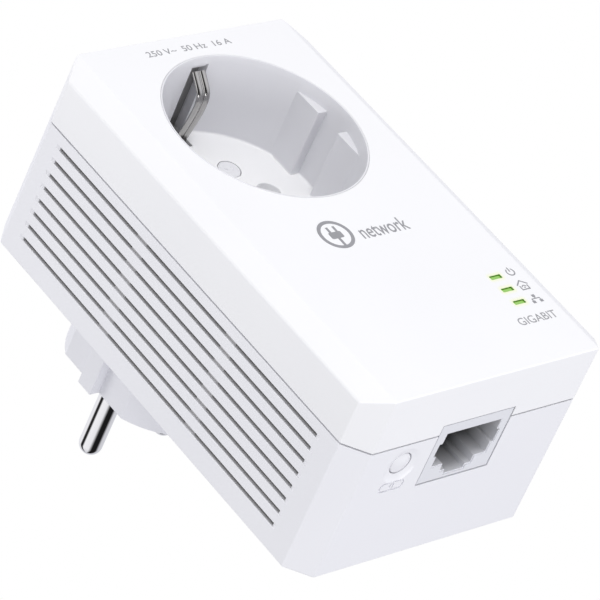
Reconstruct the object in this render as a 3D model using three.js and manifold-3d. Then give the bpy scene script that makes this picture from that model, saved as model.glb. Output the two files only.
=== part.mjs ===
// Powerline adapter with an earthed through socket, millimetres, +Z up.
// The origin is the centre of the plug's engagement face. +Y is the way the pins point, so -Y is the
// front of the case. +Z is the long axis, with the socket above and the network jack at the bottom.
import * as THREE from "three";
import { ConvexGeometry } from "three/addons/geometries/ConvexGeometry.js";
import { mergeVertices } from "three/addons/utils/BufferGeometryUtils.js";
import Module from "manifold-3d";

// ---- Driving dimensions ----

// Case
const bodyWidth = 60.4;
const bodyHeight = 97.6; // along Z, at the front face
const coverDepth = 12.3; // front face to the parting line
const housingDepth = 30.3; // parting line to the rear face
const plugProjection = 20; // rear face to the plug's engagement face
const topMargin = 6.9; // top of the front face to the socket's bore
const endLean = 0.74; // how much further out each end stands at the rear face
const sideBevelX = 4.3; // bevel strip along each long side of the front face
const sideBevelY = 2.6;
const cornerCut = 4.3; // flat cut on each upright corner
const wall = 2;
const gap = 0.3; // clearance between pieces that touch
const tongueHeight = 1.5; // lip of the rear housing inside the cover
const tongueWall = 0.9;
const ledgeHeight = 1; // step that carries the lip
const bite = 0.5; // how deep pieces of one solid reach into each other

// Vents, in rows along both long sides
const ventRows = 8;
const ventPitch = 3.15;
const ventWidth = 1;
const ventFirst = 3; // parting line to the first row
const ventOpen = 24.6; // length of one opening
const ventBridge = 3; // solid stretch between openings
const ventsPerRow = 3;
const ventDrop = 21.4; // socket's axis down to the middle of a row

// Socket recess
const socketBore = 20; // radius at the mouth
const socketDraft = 0.3; // how much narrower the bore is at the floor
const socketDepth = 18.4;
const socketWall = 2;
const socketFloor = 2;
const rimWidth = 0.9; // visible ring outside the bore
const rimRound = 0.5;
const flangeWidth = 1.4;
const flangeThick = 1.2;
const guideReach = 2.6; // how far each guide block stands into the bore
const guideGap = 6; // key gap between two guide blocks
const guideTop = 2.9; // front face to the top of the blocks
const pinPitch = 19;
const pinHole = 2.7;
const capX = 5.4; // screw caps in the socket floor
const capZ = 7.75;
const capRadius = 2.3;
const capThick = 0.9;
const capPlay = 0.15;
const capBossWall = 1.1;

// Earth clips and bridge
const clipWidth = 3.3;
const clipThick = 0.6;
const clipPlay = 0.45; // each side of the strip, in its slot
const clipReach = 4.2; // how far the bulge stands into the bore
const clipPeakDepth = 7.4; // front face to the bulge
const clipTipReach = 0.4; // how far the free end stands into the bore
const clipTipDepth = 2.8;
const clipRootReach = 2.4; // how far inside the bore the strip's root lies
const clipSteps = 16;
const slotTop = 1.7; // front face to the top of the clip slot
const legDepth = 2; // bore to the outside of the strip's rear leg
const slotBackWall = 0.8;
const slotSideWall = 1;
const earthLegThick = 0.5;
const bridgeWidth = 5;
const bridgeThick = 0.8;
const linkRoom = 2; // plug's flange to the front of the earth bridge and power links
const linkThick = 0.8;
const linkFoot = 1.2; // width of a link's tail, and of its foot on the board

// Shutter
const shutterThick = 1.6;
const shutterLap = 0.8; // how far the shutter's ends reach past the pin holes
const shutterHalfWidth = 3;
const shutterHub = 4.6;
const shutterPost = 1.6;
const postPlay = 0.05; // running clearance of the shutter on its post
const springRadius = 3.7;
const springWidth = 0.7;
const springRoom = 1.1; // depth of the spring's seat in the carrier

// Contact carrier
const carrierPlay = 1.3; // carrier's edge to the strips' roots
const footInset = 0.9; // plug's inner wall to the middle of each of the carrier's feet
const footWidth = 2.2;
const footFromBridge = 1.8;
const pocketX = 7.4;
const pocketZ = 8.6;
const contactInset = 1; // contact's ends to the carrier's faces
const contactThick = 0.7;
const contactRadius = 2.75; // inside of a contact, round the inserted pin
const contactSplit = 1.2;
const contactRing = 2; // unsplit ring at a contact's back

// Plug
const plugRadius = 18.7;
const plugFlat = 16.2; // axis to each flat
const ribHeight = 2.3;
const ribWidth = 4;
const plugWall = 2.2;
const plugFlangeWidth = 2;
const plugFlangeThick = 1.6;
const notchWidth = 6.4; // edge notch for each earth strip
const notchFloor = 16.3;
const notchStop = 2.5; // rear face of the case to the end of the notch
const plugEarthWidth = 5.2;
const plugEarthThick = 0.8;
const plugEarthInset = 1; // engagement face to the end of the strip
const pinRadius = 2.4;
const pinLength = 19.2;
const pinHead = 3.4;
const pinHeadThick = 1.4;
const pinTail = 5;
const pinTailRadius = 1.9;

// Network jack
const jackWidth = 18.1;
const jackHeight = 14.15; // along Y
const jackLength = 15.4; // along Z
const jackFromFront = 10.2; // front face to the jack's nearer side
const jackOpening = 12.8; // depth of the opening
const jackLip = 2.3; // jack's nearer side to the opening
const jackContacts = 8;
const jackContactPitch = 1.02;
const jackContactWidth = 0.42;
const combDepth = 3.1; // lip to the far side of the comb
const combBar = 1.6;
const combWire = 0.55;
const combTip = 2.2; // lower end of the case to the wires' tips

// Pair button and its switch
const buttonX = -16;
const buttonFromSeam = 5.2;
const buttonRadius = 2.3;
const buttonFlange = 0.8;
const buttonTravel = 0.6;
const buttonStem = 2.4;
const stemRadius = 1.4;
const switchWidth = 6.2;
const switchLength = 3.8;
const plungerRadius = 1.1;
const plungerStandsOut = 1.4;

// Indicators
const windowX = 18.35;
const windowWidth = 2.9;
const windowHeight = 1.05;
const windowPitch = 3.5;
const windowDrop = 48.65; // socket's axis down to the first window
const windowCount = 3;
const pipeHeight = 2.2; // height of a light pipe behind the cover
const ledWidth = 2.8;
const ledLength = 1.4;
const ledHeight = 1.1;

// Board
const boardThick = 1.6;
const boardSideGap = 1.7; // case's inner side wall to the board
const boardFromCup = 1.6; // socket cup's wall to the board's upper edge
const boardEndGap = 1.6; // case's inner end wall to the board's lower edge

// Screws
const screwInsetX = 6; // outer side wall to a case screw
const screwInsetZ = 6.2; // outer end wall to a case screw
const screwShank = 1.25;
const screwHead = 2.6;
const screwHeadThick = 1.8;
const screwSeat = 4.2; // thickness of plastic under a screw head
const bossWall = 1.5;

// Rear label
const labelWidth = 40;
const labelHeight = 26;
const labelThick = 0.25;
const labelDrop = 40; // socket's axis down to the label's middle

// ---- Derived places ----
const frontY = -(coverDepth + housingDepth + plugProjection);
const seamY = frontY + coverDepth;
const rearY = -plugProjection;
const halfWidth = bodyWidth / 2;
const topZ = socketBore + topMargin;
const bottomZ = topZ - bodyHeight;
const boardWidth = bodyWidth - 2 * (wall + boardSideGap);
const leanAt = (y) => (endLean * (y - frontY)) / (coverDepth + housingDepth);
const socketFloorBore = socketBore - socketDraft;
const guideFace = socketBore - guideReach;
const clipSlot = clipWidth + 2 * clipPlay;
const clipPeak = socketBore - clipReach;
const clipTip = socketBore - clipTipReach;
const clipRoot = socketBore - clipRootReach;
const slotRadius = socketBore + legDepth;
const floorY = frontY + socketDepth;
const floorBackY = floorY + socketFloor;
const shutterY = floorBackY + gap;
const carrierY = shutterY + shutterThick + gap;
const rearInnerY = rearY - wall;
const plugFlangeY = rearInnerY - gap - plugFlangeThick;
const bridgeY = plugFlangeY - linkRoom;
const carrierBackY = bridgeY - gap;
const carrierRadius = clipRoot - carrierPlay;
const pinX = pinPitch / 2;
const shutterHalfLength = pinX + pinHole + shutterLap;
const ribReach = plugFlat + ribHeight;
const plugCavity = notchFloor - plugWall;
const notchLength = plugProjection - notchStop;
const cupRadius = socketBore + socketWall;
const rimRadius = socketBore + rimWidth;
const flangeRadius = cupRadius + flangeWidth;
const flangeY = frontY + wall + gap;
const jackY = frontY + jackFromFront;
const jackBackY = jackY + jackHeight;
const boardY = jackBackY + gap;
const boardBackY = boardY + boardThick;
const endInnerZ = bottomZ + wall;
const boardTop = cupRadius + boardFromCup;
const boardBottomZ = endInnerZ + boardEndGap;
const screwXs = [-halfWidth + screwInsetX, halfWidth - screwInsetX];
const screwZs = [bottomZ + screwInsetZ, topZ - screwInsetZ];
const cupSlotRadius = slotRadius + gap;
const buttonY = seamY + buttonFromSeam;

// ---- Solids ----
const wasm = await Module();
wasm.setup();

// A closed three.js geometry as a solid, turned right way out.
function solid(geometry) {
  const bare = new THREE.BufferGeometry();
  bare.setAttribute("position", geometry.getAttribute("position").clone());
  if (geometry.index) bare.setIndex(geometry.index.clone());
  const merged = mergeVertices(bare, 1e-4);
  const vertProperties = new Float32Array(merged.attributes.position.array);
  const triVerts = new Uint32Array(merged.index.array);
  const make = () => new wasm.Manifold(new wasm.Mesh({ numProp: 3, vertProperties, triVerts }));
  const made = make();
  if (made.volume() > 0) return made;
  for (let i = 0; i < triVerts.length; i += 3) {
    [triVerts[i + 1], triVerts[i + 2]] = [triVerts[i + 2], triVerts[i + 1]];
  }
  return make();
}

const join = (...solids) => solids.reduce((a, b) => a.add(b));
const cut = (base, ...tools) => tools.reduce((a, b) => a.subtract(b), base);

// A box between two values on each axis.
function block([x0, x1], [y0, y1], [z0, z1]) {
  const box = new THREE.BoxGeometry(x1 - x0, y1 - y0, z1 - z0);
  return solid(box.translate((x0 + x1) / 2, (y0 + y1) / 2, (z0 + z1) / 2));
}

// A box centred on a point of the XZ plane.
const blockAt = (x, z, width, height, ys) =>
  block([x - width / 2, x + width / 2], ys, [z - height / 2, z + height / 2]);

// A cylinder along Y.
function disc(radius, [y0, y1], x = 0, z = 0, sides = 24) {
  const rod = new THREE.CylinderGeometry(radius, radius, y1 - y0, sides);
  return solid(rod.translate(x, (y0 + y1) / 2, z));
}

// A cylinder along Z.
function post(radius, [z0, z1], x, y, sides = 24) {
  const rod = new THREE.CylinderGeometry(radius, radius, z1 - z0, sides).rotateX(Math.PI / 2);
  return solid(rod.translate(x, y, (z0 + z1) / 2));
}

// A body of revolution about a line along Y; the profile is [radius, y] and starts and ends on the axis.
function turned(profile, sides = 24, x = 0, z = 0) {
  const points = profile.map(([r, y]) => new THREE.Vector2(r, y));
  return solid(new THREE.LatheGeometry(points, sides).translate(x, 0, z));
}

// An outline in the XZ plane, extruded along Y.
function prismY(shape, [y0, y1], curveSegments = 12) {
  const geometry = new THREE.ExtrudeGeometry(shape, { depth: y1 - y0, bevelEnabled: false, curveSegments });
  return solid(geometry.rotateX(Math.PI / 2).translate(0, y1, 0));
}

// An outline of [y, z] points, extruded along X.
function prismX(points, [x0, x1]) {
  const shape = new THREE.Shape(points.map(([y, z]) => new THREE.Vector2(y, z)));
  const geometry = new THREE.ExtrudeGeometry(shape, { depth: x1 - x0, bevelEnabled: false });
  const swap = new THREE.Matrix4().set(0, 0, 1, x0, 1, 0, 0, 0, 0, 1, 0, 0, 0, 0, 0, 1);
  return solid(geometry.applyMatrix4(swap));
}

// An outline of [x, y] points, extruded along Z.
function prismZ(points, [z0, z1]) {
  const shape = new THREE.Shape(points.map(([x, y]) => new THREE.Vector2(x, y)));
  const geometry = new THREE.ExtrudeGeometry(shape, { depth: z1 - z0, bevelEnabled: false });
  return solid(geometry.translate(0, 0, z0));
}

// The same solid seen in a mirror on x = 0 or z = 0.
const mirrored = (body, normal) => body.mirror(normal);
const overX = (body) => mirrored(body, [1, 0, 0]);
const overZ = (body) => mirrored(body, [0, 0, 1]);
const turnedRound = (body) => overX(overZ(body));

// ---- The group ----
const root = new THREE.Group();

function add(name, body, colour, roughness, metalness = 0) {
  const mesh = body.getMesh();
  const geometry = new THREE.BufferGeometry();
  geometry.setAttribute("position", new THREE.BufferAttribute(mesh.vertProperties, 3));
  geometry.setIndex(new THREE.BufferAttribute(mesh.triVerts, 1));
  geometry.computeVertexNormals();
  const material = new THREE.MeshStandardMaterial({ color: colour, roughness, metalness });
  const part = new THREE.Mesh(geometry, material);
  part.name = name;
  root.add(part);
}

const plastic = (name, body, colour = 0xf2f2f5) => add(name, body, colour, 0.35);
const metal = (name, body, colour = 0xc8c6c0) => add(name, body, colour, 0.25, 1);
const component = (name, body, colour) => add(name, body, colour, 0.6);

// ---- Case ----

// The outer form of the case, moved inwards by an inset on every side.
function envelope(inset) {
  const x = halfWidth - inset;
  const slope = Math.hypot(sideBevelX, sideBevelY);
  const frontX = halfWidth - sideBevelX - (inset * (slope - sideBevelX)) / sideBevelY;
  const sideY = frontY + sideBevelY + (inset * (slope - sideBevelY)) / sideBevelX;
  const corner = cornerCut - inset * (2 - Math.SQRT2);
  const points = [];
  const both = (px, y, z0, z1) => {
    for (const side of [-1, 1]) points.push([side * px, y, z0], [side * px, y, z1]);
  };
  const low = (y) => bottomZ - leanAt(y) + inset;
  const high = (y) => topZ + leanAt(y) - inset;
  both(frontX, frontY + inset, low(frontY), high(frontY));
  both(x, sideY, low(sideY) + corner, high(sideY) - corner);
  both(x, rearY - inset, low(rearY) + corner, high(rearY) - corner);
  both(x - corner, rearY - inset, low(rearY), high(rearY));
  return solid(new ConvexGeometry(points.map((p) => new THREE.Vector3(...p))));
}

const everywhere = bodyHeight * 2;
const slab = (y0, y1) => block([-everywhere, everywhere], [y0, y1], [-everywhere, everywhere]);
const ring = (outer, inner, y0, y1) => cut(envelope(outer), envelope(inner)).intersect(slab(y0, y1));

const outer = envelope(0);
const inner = envelope(wall);
const jackHole = block(
  [-jackWidth / 2 - gap, jackWidth / 2 + gap],
  [jackY - gap, jackBackY + gap],
  [bottomZ - wall, endInnerZ + wall],
);

function frontCover() {
  const shell = cut(outer, inner).intersect(slab(frontY - 1, seamY));
  const bosses = screwXs.flatMap((x) =>
    screwZs.map((z) => disc(screwShank + gap + bossWall, [frontY + wall / 2, seamY - gap], x, z, 20)),
  );
  const pilots = screwXs.flatMap((x) =>
    screwZs.map((z) => disc(screwShank + gap, [frontY + wall, seamY], x, z, 16)),
  );
  const windows = [];
  for (let i = 0; i < windowCount; i++) {
    const z = -windowDrop - i * windowPitch;
    windows.push(blockAt(windowX, z, windowWidth, windowHeight, [frontY - 1, frontY + wall + 1]));
  }
  const mouth = disc(rimRadius + gap, [frontY - 1, frontY + wall + 1], 0, 0, 64);
  return cut(join(shell, ...bosses), ...pilots, ...windows, mouth, jackHole);
}
plastic("front_cover", frontCover(), 0xfbfbfc);

// Plug outline with two flats and a key rib on each, grown by a clearance.
function plugOutline(grow) {
  const radius = plugRadius + grow;
  const flat = plugFlat + grow;
  const rib = ribWidth / 2 + grow;
  const reach = ribReach + grow;
  const angle = Math.acos(flat / radius);
  const corner = radius * Math.sin(angle);
  const shape = new THREE.Shape();
  shape.moveTo(flat, corner);
  shape.absarc(0, 0, radius, angle, Math.PI - angle, false);
  for (const [x, z] of [[-1, 1], [-1, -1]]) {
    shape.lineTo(x * (z > 0 ? flat : reach), z * rib);
    shape.lineTo(x * (z > 0 ? reach : flat), z * rib);
  }
  shape.lineTo(-flat, -corner);
  shape.absarc(0, 0, radius, Math.PI + angle, 2 * Math.PI - angle, false);
  for (const [x, z] of [[1, -1], [1, 1]]) {
    shape.lineTo(x * (z < 0 ? flat : reach), z * rib);
    shape.lineTo(x * (z < 0 ? reach : flat), z * rib);
  }
  return shape;
}

function ventCuts() {
  const cuts = [];
  const pitch = ventOpen + ventBridge;
  for (let row = 0; row < ventRows; row++) {
    const y = seamY + ventFirst + row * ventPitch;
    for (let i = 0; i < ventsPerRow; i++) {
      const z = -ventDrop + (i - (ventsPerRow - 1) / 2) * pitch;
      const spanY = [y - ventWidth / 2, y + ventWidth / 2];
      const spanZ = [z - ventOpen / 2, z + ventOpen / 2];
      for (const side of [-1, 1]) {
        const xs = [side * (halfWidth - wall - 1), side * (halfWidth + 1)].sort((a, b) => a - b);
        cuts.push(block(xs, spanY, spanZ));
      }
    }
  }
  return join(...cuts);
}

function rearHousing() {
  const front = seamY + gap;
  const ledge = ring(wall - bite, wall + gap + tongueWall, front, front + ledgeHeight);
  const tongue = ring(wall + gap, wall + gap + tongueWall, seamY - tongueHeight, front + bite);
  const shell = join(cut(outer, inner).intersect(slab(front, rearY + 1)), ledge, tongue);
  const places = screwXs.flatMap((x) => screwZs.map((z) => [x, z]));
  const pillars = places.map(([x, z], i) => {
    const ys = [front, rearY - wall / 2];
    const xs = [x, Math.sign(x) * everywhere].sort((a, b) => a - b);
    const zs = [z, (i % 2 ? 1 : -1) * everywhere].sort((a, b) => a - b);
    return join(disc(screwHead + gap + bossWall, ys, x, z, 20), block(xs, ys, zs)).intersect(outer);
  });
  const heads = places.map(([x, z]) => disc(screwHead + gap, [front + screwSeat, rearY + 1], x, z, 20));
  const shanks = places.map(([x, z]) => disc(screwShank + gap, [front - 1, rearY], x, z, 16));
  const boss = screwShank + 2 * gap + bossWall;
  const reliefs = places.map(([x, z]) => disc(boss, [seamY - 2 * tongueHeight, front], x, z, 20));
  const labelPocket = blockAt(0, -labelDrop, labelWidth + 2 * gap, labelHeight + 2 * gap, [
    rearY - labelThick - 2 * gap,
    rearY + 1,
  ]);
  const buttonHole = post(buttonRadius + gap, [bottomZ - wall, endInnerZ + 1], buttonX, buttonY);
  const plugHole = prismY(plugOutline(gap), [rearInnerY - 1, rearY + 1]);
  const openings = [labelPocket, buttonHole, plugHole, jackHole, ventCuts()];
  return cut(join(shell, ...pillars), ...heads, ...shanks, ...reliefs, ...openings);
}
plastic("rear_housing", rearHousing(), 0xf0f0f4);

for (const [i, x] of screwXs.entries()) {
  for (const [j, z] of screwZs.entries()) {
    const seat = seamY + gap + screwSeat + gap;
    const tip = frontY + wall + gap;
    const screw = turned([
      [0, tip],
      [screwShank, tip + screwShank],
      [screwShank, seat],
      [screwHead, seat],
      [screwHead, seat + screwHeadThick],
      [0, seat + screwHeadThick],
    ], 16, x, z);
    const side = i === 0 ? "left" : "right";
    const end = j === 0 ? "lower" : "upper";
    metal(`case_screw_${end}_${side}`, screw);
  }
}

plastic(
  "rating_label",
  blockAt(0, -labelDrop, labelWidth, labelHeight, [rearY - labelThick - gap / 2, rearY - gap / 2]),
  0xe9e9ec,
);

// ---- Through socket ----

const holdRadius = socketBore + socketWall / 2;

function socketCup() {
  const body = turned([
    [0, floorBackY],
    [cupRadius, floorBackY],
    [cupRadius, flangeY + flangeThick],
    [flangeRadius, flangeY + flangeThick],
    [flangeRadius, flangeY],
    [rimRadius, flangeY],
    [rimRadius, frontY],
    [socketBore + rimRound, frontY],
    [socketBore, frontY + rimRound],
    [socketFloorBore, floorY],
    [0, floorY],
  ], 64);
  const guides = [];
  for (const side of [-1, 1]) {
    for (const end of [-1, 1]) {
      const xs = [side * guideFace, side * holdRadius].sort((a, b) => a - b);
      const zs = [(end * guideGap) / 2, end * holdRadius].sort((a, b) => a - b);
      guides.push(block(xs, [frontY + guideTop, floorY + socketFloor / 2], zs));
    }
  }
  const keep = disc(holdRadius, [frontY, floorBackY], 0, 0, 64);
  const back = cupSlotRadius + slotBackWall;
  const sleeveX = clipSlot / 2 + slotSideWall;
  const sleeve = block([-sleeveX, sleeveX], [flangeY, floorBackY], [clipRoot, back]);
  const hollow = disc(socketFloorBore, [flangeY - 1, floorY], 0, 0, 64);
  const sleeves = cut(join(sleeve, overZ(sleeve)), hollow, disc(socketBore, [frontY, floorY - 1], 0, 0, 48));
  const xs = [-clipSlot / 2, clipSlot / 2];
  const through = block(xs, [floorY - 1, floorBackY + 1], [clipPeak - gap, cupSlotRadius]);
  const wallSlot = block(xs, [flangeY + gap, floorY], [socketFloorBore - 1, cupSlotRadius]);
  const mouthZs = [socketFloorBore - 1, socketBore + rimWidth / 2];
  const mouthSlot = block(xs, [frontY + slotTop, flangeY + 1], mouthZs);
  const slots = join(through, wallSlot, mouthSlot);
  const holes = [-pinX, pinX].map((x) => disc(pinHole, [floorY - 1, floorBackY + 1], x, 0, 24));
  const seatY = floorY + 2 * capThick + 3 * gap;
  const capBore = capRadius + capPlay;
  const boss = disc(capBore + capBossWall, [floorY + socketFloor / 2, carrierY - gap], capX, capZ, 20);
  const capHole = disc(capBore, [floorY - 1, seatY], capX, capZ, 24);
  const shank = disc(screwShank + gap, [floorY, carrierY], capX, capZ, 16);
  const base = join(body, join(...guides).intersect(keep), sleeves, boss, turnedRound(boss));
  return cut(base, slots, overZ(slots), ...holes, capHole, turnedRound(capHole), shank, turnedRound(shank));
}
plastic("socket_cup", socketCup(), 0xe9e9ec);

const socketCap = disc(capRadius, [floorY, floorY + capThick], capX, capZ, 24);
plastic("screw_cap_upper", socketCap, 0xe6e6ea);
plastic("screw_cap_lower", turnedRound(socketCap), 0xe6e6ea);

const socketScrewY = floorY + capThick + gap;
const screwTipY = (carrierY + carrierBackY) / 2;
const socketScrew = turned([
  [0, socketScrewY],
  [capRadius - gap, socketScrewY],
  [capRadius - gap, socketScrewY + capThick],
  [screwShank, socketScrewY + capThick],
  [screwShank, screwTipY],
  [0, screwTipY + screwShank],
], 16, capX, capZ);
metal("socket_screw_upper", socketScrew);
metal("socket_screw_lower", turnedRound(socketScrew));

// A rotary shutter: a bar with a round hub, whose two ends cover the pin holes.
function shutter() {
  const ys = [shutterY, shutterY + shutterThick];
  const bar = blockAt(0, 0, 2 * shutterHalfLength, 2 * shutterHalfWidth, ys);
  return cut(join(bar, disc(shutterHub, ys)), disc(shutterPost + postPlay, [ys[0] - 1, ys[1] + 1]));
}
plastic("shutter", shutter(), 0xd9d9de);

// An insulating block with a through pocket for each contact and a post that the shutter turns on.
function contactCarrier() {
  const block0 = disc(carrierRadius, [carrierY, carrierBackY], 0, 0, 40);
  const pockets = [-pinX, pinX].map((x) => blockAt(x, 0, pocketX, pocketZ, [carrierY - 1, carrierBackY + 1]));
  const pilot = disc(screwShank + gap, [carrierY - 1, carrierBackY - wall], capX, capZ, 16);
  const reliefs = [-pinX, pinX].map((x) =>
    blockAt(x, 0, pocketX + 2 * bite, pocketZ + 2 * bite, [carrierBackY - 1, carrierBackY + 1]),
  );
  const seat = disc(springRadius + gap, [carrierY - 1, carrierY + springRoom]);
  const centre = disc(shutterPost, [shutterY + gap, carrierY + 2 * springRoom]);
  const footX = (bridgeWidth + footWidth) / 2 + footFromBridge;
  const footZ = Math.sqrt((plugCavity + footInset) ** 2 - footX ** 2);
  const armXs = [footX - footWidth / 2, footX + footWidth / 2];
  const arm = block(armXs, [carrierBackY - wall, carrierBackY], [pocketZ / 2 + 1, footZ]);
  const foot = join(arm, disc(footWidth / 2, [carrierBackY - wall, plugFlangeY - gap], footX, footZ, 12));
  const feet = [foot, overX(foot), overZ(foot), turnedRound(foot)];
  const body = cut(block0, ...pockets, ...reliefs, pilot, turnedRound(pilot), seat);
  return join(body, centre, ...feet);
}
plastic("contact_carrier", contactCarrier(), 0xe4e0d2);

// The flat coil spring that turns the shutter back, as one open ring with two legs.
function shutterSpring() {
  const ys = [carrierY + gap / 2, carrierY + springRoom - gap];
  const through = [ys[0] - 1, ys[1] + 1];
  const coil = cut(disc(springRadius, ys), disc(springRadius - springWidth, through));
  return cut(coil, blockAt(springRadius, 0, springRadius, springWidth, through));
}
metal("shutter_spring", shutterSpring(), 0x9fa2a6);

// A pin contact: a split tube with a solder plate at its back.
function pinContact(x) {
  const ys = [carrierY + contactInset, carrierBackY - contactInset];
  const tube = disc(contactRadius + contactThick, ys, x, 0, 20);
  const core = disc(contactRadius, [ys[0] - 1, ys[1] + 1], x, 0, 20);
  const split = blockAt(x, 0, contactSplit, 2 * pocketZ, [ys[0] - 1, ys[1] - contactRing]);
  return cut(tube, core, split);
}
metal("socket_contact_left", pinContact(-pinX), 0xc9b46a);
metal("socket_contact_right", pinContact(pinX), 0xc9b46a);

// ---- Earth path ----

const springBack = bridgeY - gap;

// The sprung strip beside the bore: a smooth curve from its free end over the bulge to its root behind
// the carrier, given a thickness at right angles to the curve.
function earthClip() {
  const tipY = frontY + clipTipDepth;
  const peakY = frontY + clipPeakDepth;
  const curve = new THREE.SplineCurve([
    new THREE.Vector2(tipY, clipTip),
    new THREE.Vector2((tipY + peakY) / 2, (clipTip + clipPeak) / 2 - clipThick),
    new THREE.Vector2(peakY, clipPeak),
    new THREE.Vector2(floorY, clipRoot - clipThick),
    new THREE.Vector2(carrierY, clipRoot),
  ]);
  const face = curve.getPoints(clipSteps).map((p) => [p.x, p.y]);
  const back = curve.getPoints(clipSteps).map((p, i) => {
    const along = curve.getTangent(i / clipSteps);
    return [p.x - along.y * clipThick, p.y + along.x * clipThick];
  });
  face.push([springBack, clipRoot]);
  back.push([springBack, clipRoot + clipThick]);
  return prismX([...face, ...back.reverse()], [-clipWidth / 2, clipWidth / 2]);
}
metal("earth_clip_top", earthClip());
metal("earth_clip_bottom", overZ(earthClip()));

// A U of strip behind the carrier, with a leg up the back of each clip slot.
function earthBridge() {
  const leg = [slotRadius - earthLegThick, slotRadius];
  const legX = clipSlot / 2 - gap;
  const width = [-legX, legX];
  const baseXs = [-bridgeWidth / 2, bridgeWidth / 2];
  const base = block(baseXs, [bridgeY, bridgeY + bridgeThick], [-leg[1], leg[1]]);
  const arm = block(width, [flangeY + 2 * gap, bridgeY + bridgeThick / 2], leg);
  return join(base, arm, overZ(arm));
}
metal("earth_bridge", earthBridge());

// ---- Plug ----

// A cup with its floor at the engagement face, a flange inside the case, and two earth notches.
function plugBase() {
  const shell = prismY(plugOutline(0), [plugFlangeY, 0]);
  const flange = disc(plugRadius + plugFlangeWidth, [plugFlangeY, rearInnerY - gap], 0, 0, 48);
  const cavity = disc(plugCavity, [plugFlangeY - 1, -plugWall], 0, 0, 40);
  const headY = -plugWall - pinHeadThick;
  const headBore = pinHead + gap;
  const bosses = [-pinX, pinX].map((x) => disc(headBore + bossWall, [headY, -plugWall + 1], x, 0));
  const sockets = [-pinX, pinX].map((x) => disc(headBore, [headY - 1, -plugWall], x, 0));
  const holes = [-pinX, pinX].map((x) => disc(pinRadius + gap, [headY - 1, 1], x, 0));
  const notch = block([-notchWidth / 2, notchWidth / 2], [-notchLength, 1], [notchFloor, plugRadius + 1]);
  return cut(join(cut(join(shell, flange), cavity), ...bosses), ...sockets, ...holes, notch, overZ(notch));
}
plastic("plug_base", plugBase(), 0xf0f0f4);

const pinHeadY = -plugWall - gap;
const pinEndY = pinHeadY - pinHeadThick - pinTail;
function plugPin(x) {
  const domeSteps = 6;
  const profile = [
    [0, pinEndY],
    [pinTailRadius, pinEndY],
    [pinTailRadius, pinHeadY - pinHeadThick],
    [pinHead, pinHeadY - pinHeadThick],
    [pinHead, pinHeadY],
    [pinRadius, pinHeadY],
  ];
  for (let i = 0; i <= domeSteps; i++) {
    const angle = (i / domeSteps) * (Math.PI / 2);
    profile.push([pinRadius * Math.cos(angle), pinLength - pinRadius + pinRadius * Math.sin(angle)]);
  }
  profile[profile.length - 1][0] = 0;
  return turned(profile, 24, x);
}
metal("plug_pin_left", plugPin(-pinX), 0xd8d8da);
metal("plug_pin_right", plugPin(pinX), 0xd8d8da);

const plugEarth = block(
  [-plugEarthWidth / 2, plugEarthWidth / 2],
  [-notchLength + gap, -plugEarthInset],
  [notchFloor + gap, notchFloor + gap + plugEarthThick],
);
metal("plug_earth_top", plugEarth);
metal("plug_earth_bottom", overZ(plugEarth));

// A plate that joins a socket contact to the plug pin behind it, with a tail down to the board.
function powerLink(x) {
  const startY = bridgeY;
  const endY = pinEndY - gap;
  const footZ = -boardTop - linkFoot;
  return prismX([
    [startY, contactRadius],
    [endY, contactRadius],
    [endY, -contactRadius],
    [startY + linkFoot, -contactRadius],
    [startY + linkFoot, footZ - linkFoot],
    [boardBackY + gap, footZ - linkFoot],
    [boardBackY + gap, footZ],
    [startY, footZ],
  ], [x - linkThick / 2, x + linkThick / 2]);
}
metal("power_link_left", powerLink(-pinX), 0xc9b46a);
metal("power_link_right", powerLink(pinX), 0xc9b46a);

// ---- Network jack, button and indicators ----

// Half of the jack's stepped opening, as [half width, distance from the lip]: plug, shoulders, latch.
const jackSteps = [
  [6.95, 0],
  [6.95, 2.5],
  [7.6, 2.5],
  [7.6, 5.7],
  [6.9, 5.7],
  [6.9, 8.15],
  [3.95, 8.15],
  [3.95, 9.9],
  [2.55, 9.9],
  [2.55, 10.95],
];

function networkJack() {
  const jackTop = bottomZ + jackLength;
  const body = block([-jackWidth / 2, jackWidth / 2], [jackY, jackBackY], [bottomZ - wall, jackTop]);
  const lipY = jackY + jackLip;
  const right = jackSteps.map(([x, y]) => [x, lipY + y]);
  const left = jackSteps.map(([x, y]) => [-x, lipY + y]).reverse();
  const opening = prismZ([...right, ...left], [bottomZ - wall - 1, bottomZ + jackOpening]);
  return cut(body.intersect(outer), opening);
}
plastic("network_jack", networkJack(), 0xe8e8ec);

// Eight sprung wires on one insulating bar.
function jackComb() {
  const lipY = jackY + jackLip;
  const barZ = [bottomZ + jackOpening - combBar, bottomZ + jackOpening - gap];
  const tipZ = bottomZ + combTip;
  const width = jackContacts * jackContactPitch;
  const bar = block([-width / 2, width / 2], [lipY + gap, lipY + combDepth], barZ);
  const wires = [];
  for (let i = 0; i < jackContacts; i++) {
    const x = (i - (jackContacts - 1) / 2) * jackContactPitch;
    wires.push(prismX([
      [lipY + bite, tipZ],
      [lipY + bite + combWire, tipZ],
      [lipY + combDepth, barZ[0] + bite],
      [lipY + combDepth - combWire, barZ[0] + bite],
    ], [x - jackContactWidth / 2, x + jackContactWidth / 2]));
  }
  return join(bar, ...wires);
}
metal("jack_contact_comb", jackComb(), 0xd9b64e);

const endFaceZ = bottomZ - leanAt(buttonY);
const flangeZ = endFaceZ + wall + gap;
const stemEndZ = flangeZ + buttonStem;
function pairButton() {
  const cap = post(buttonRadius, [endFaceZ, flangeZ + bite], buttonX, buttonY);
  const flange = post(buttonRadius + buttonFlange, [flangeZ, flangeZ + buttonFlange], buttonX, buttonY);
  const stem = post(stemRadius, [flangeZ, stemEndZ], buttonX, buttonY, 16);
  return join(cap, flange, stem);
}
plastic("pair_button", pairButton(), 0xf0f0f4);

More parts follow.
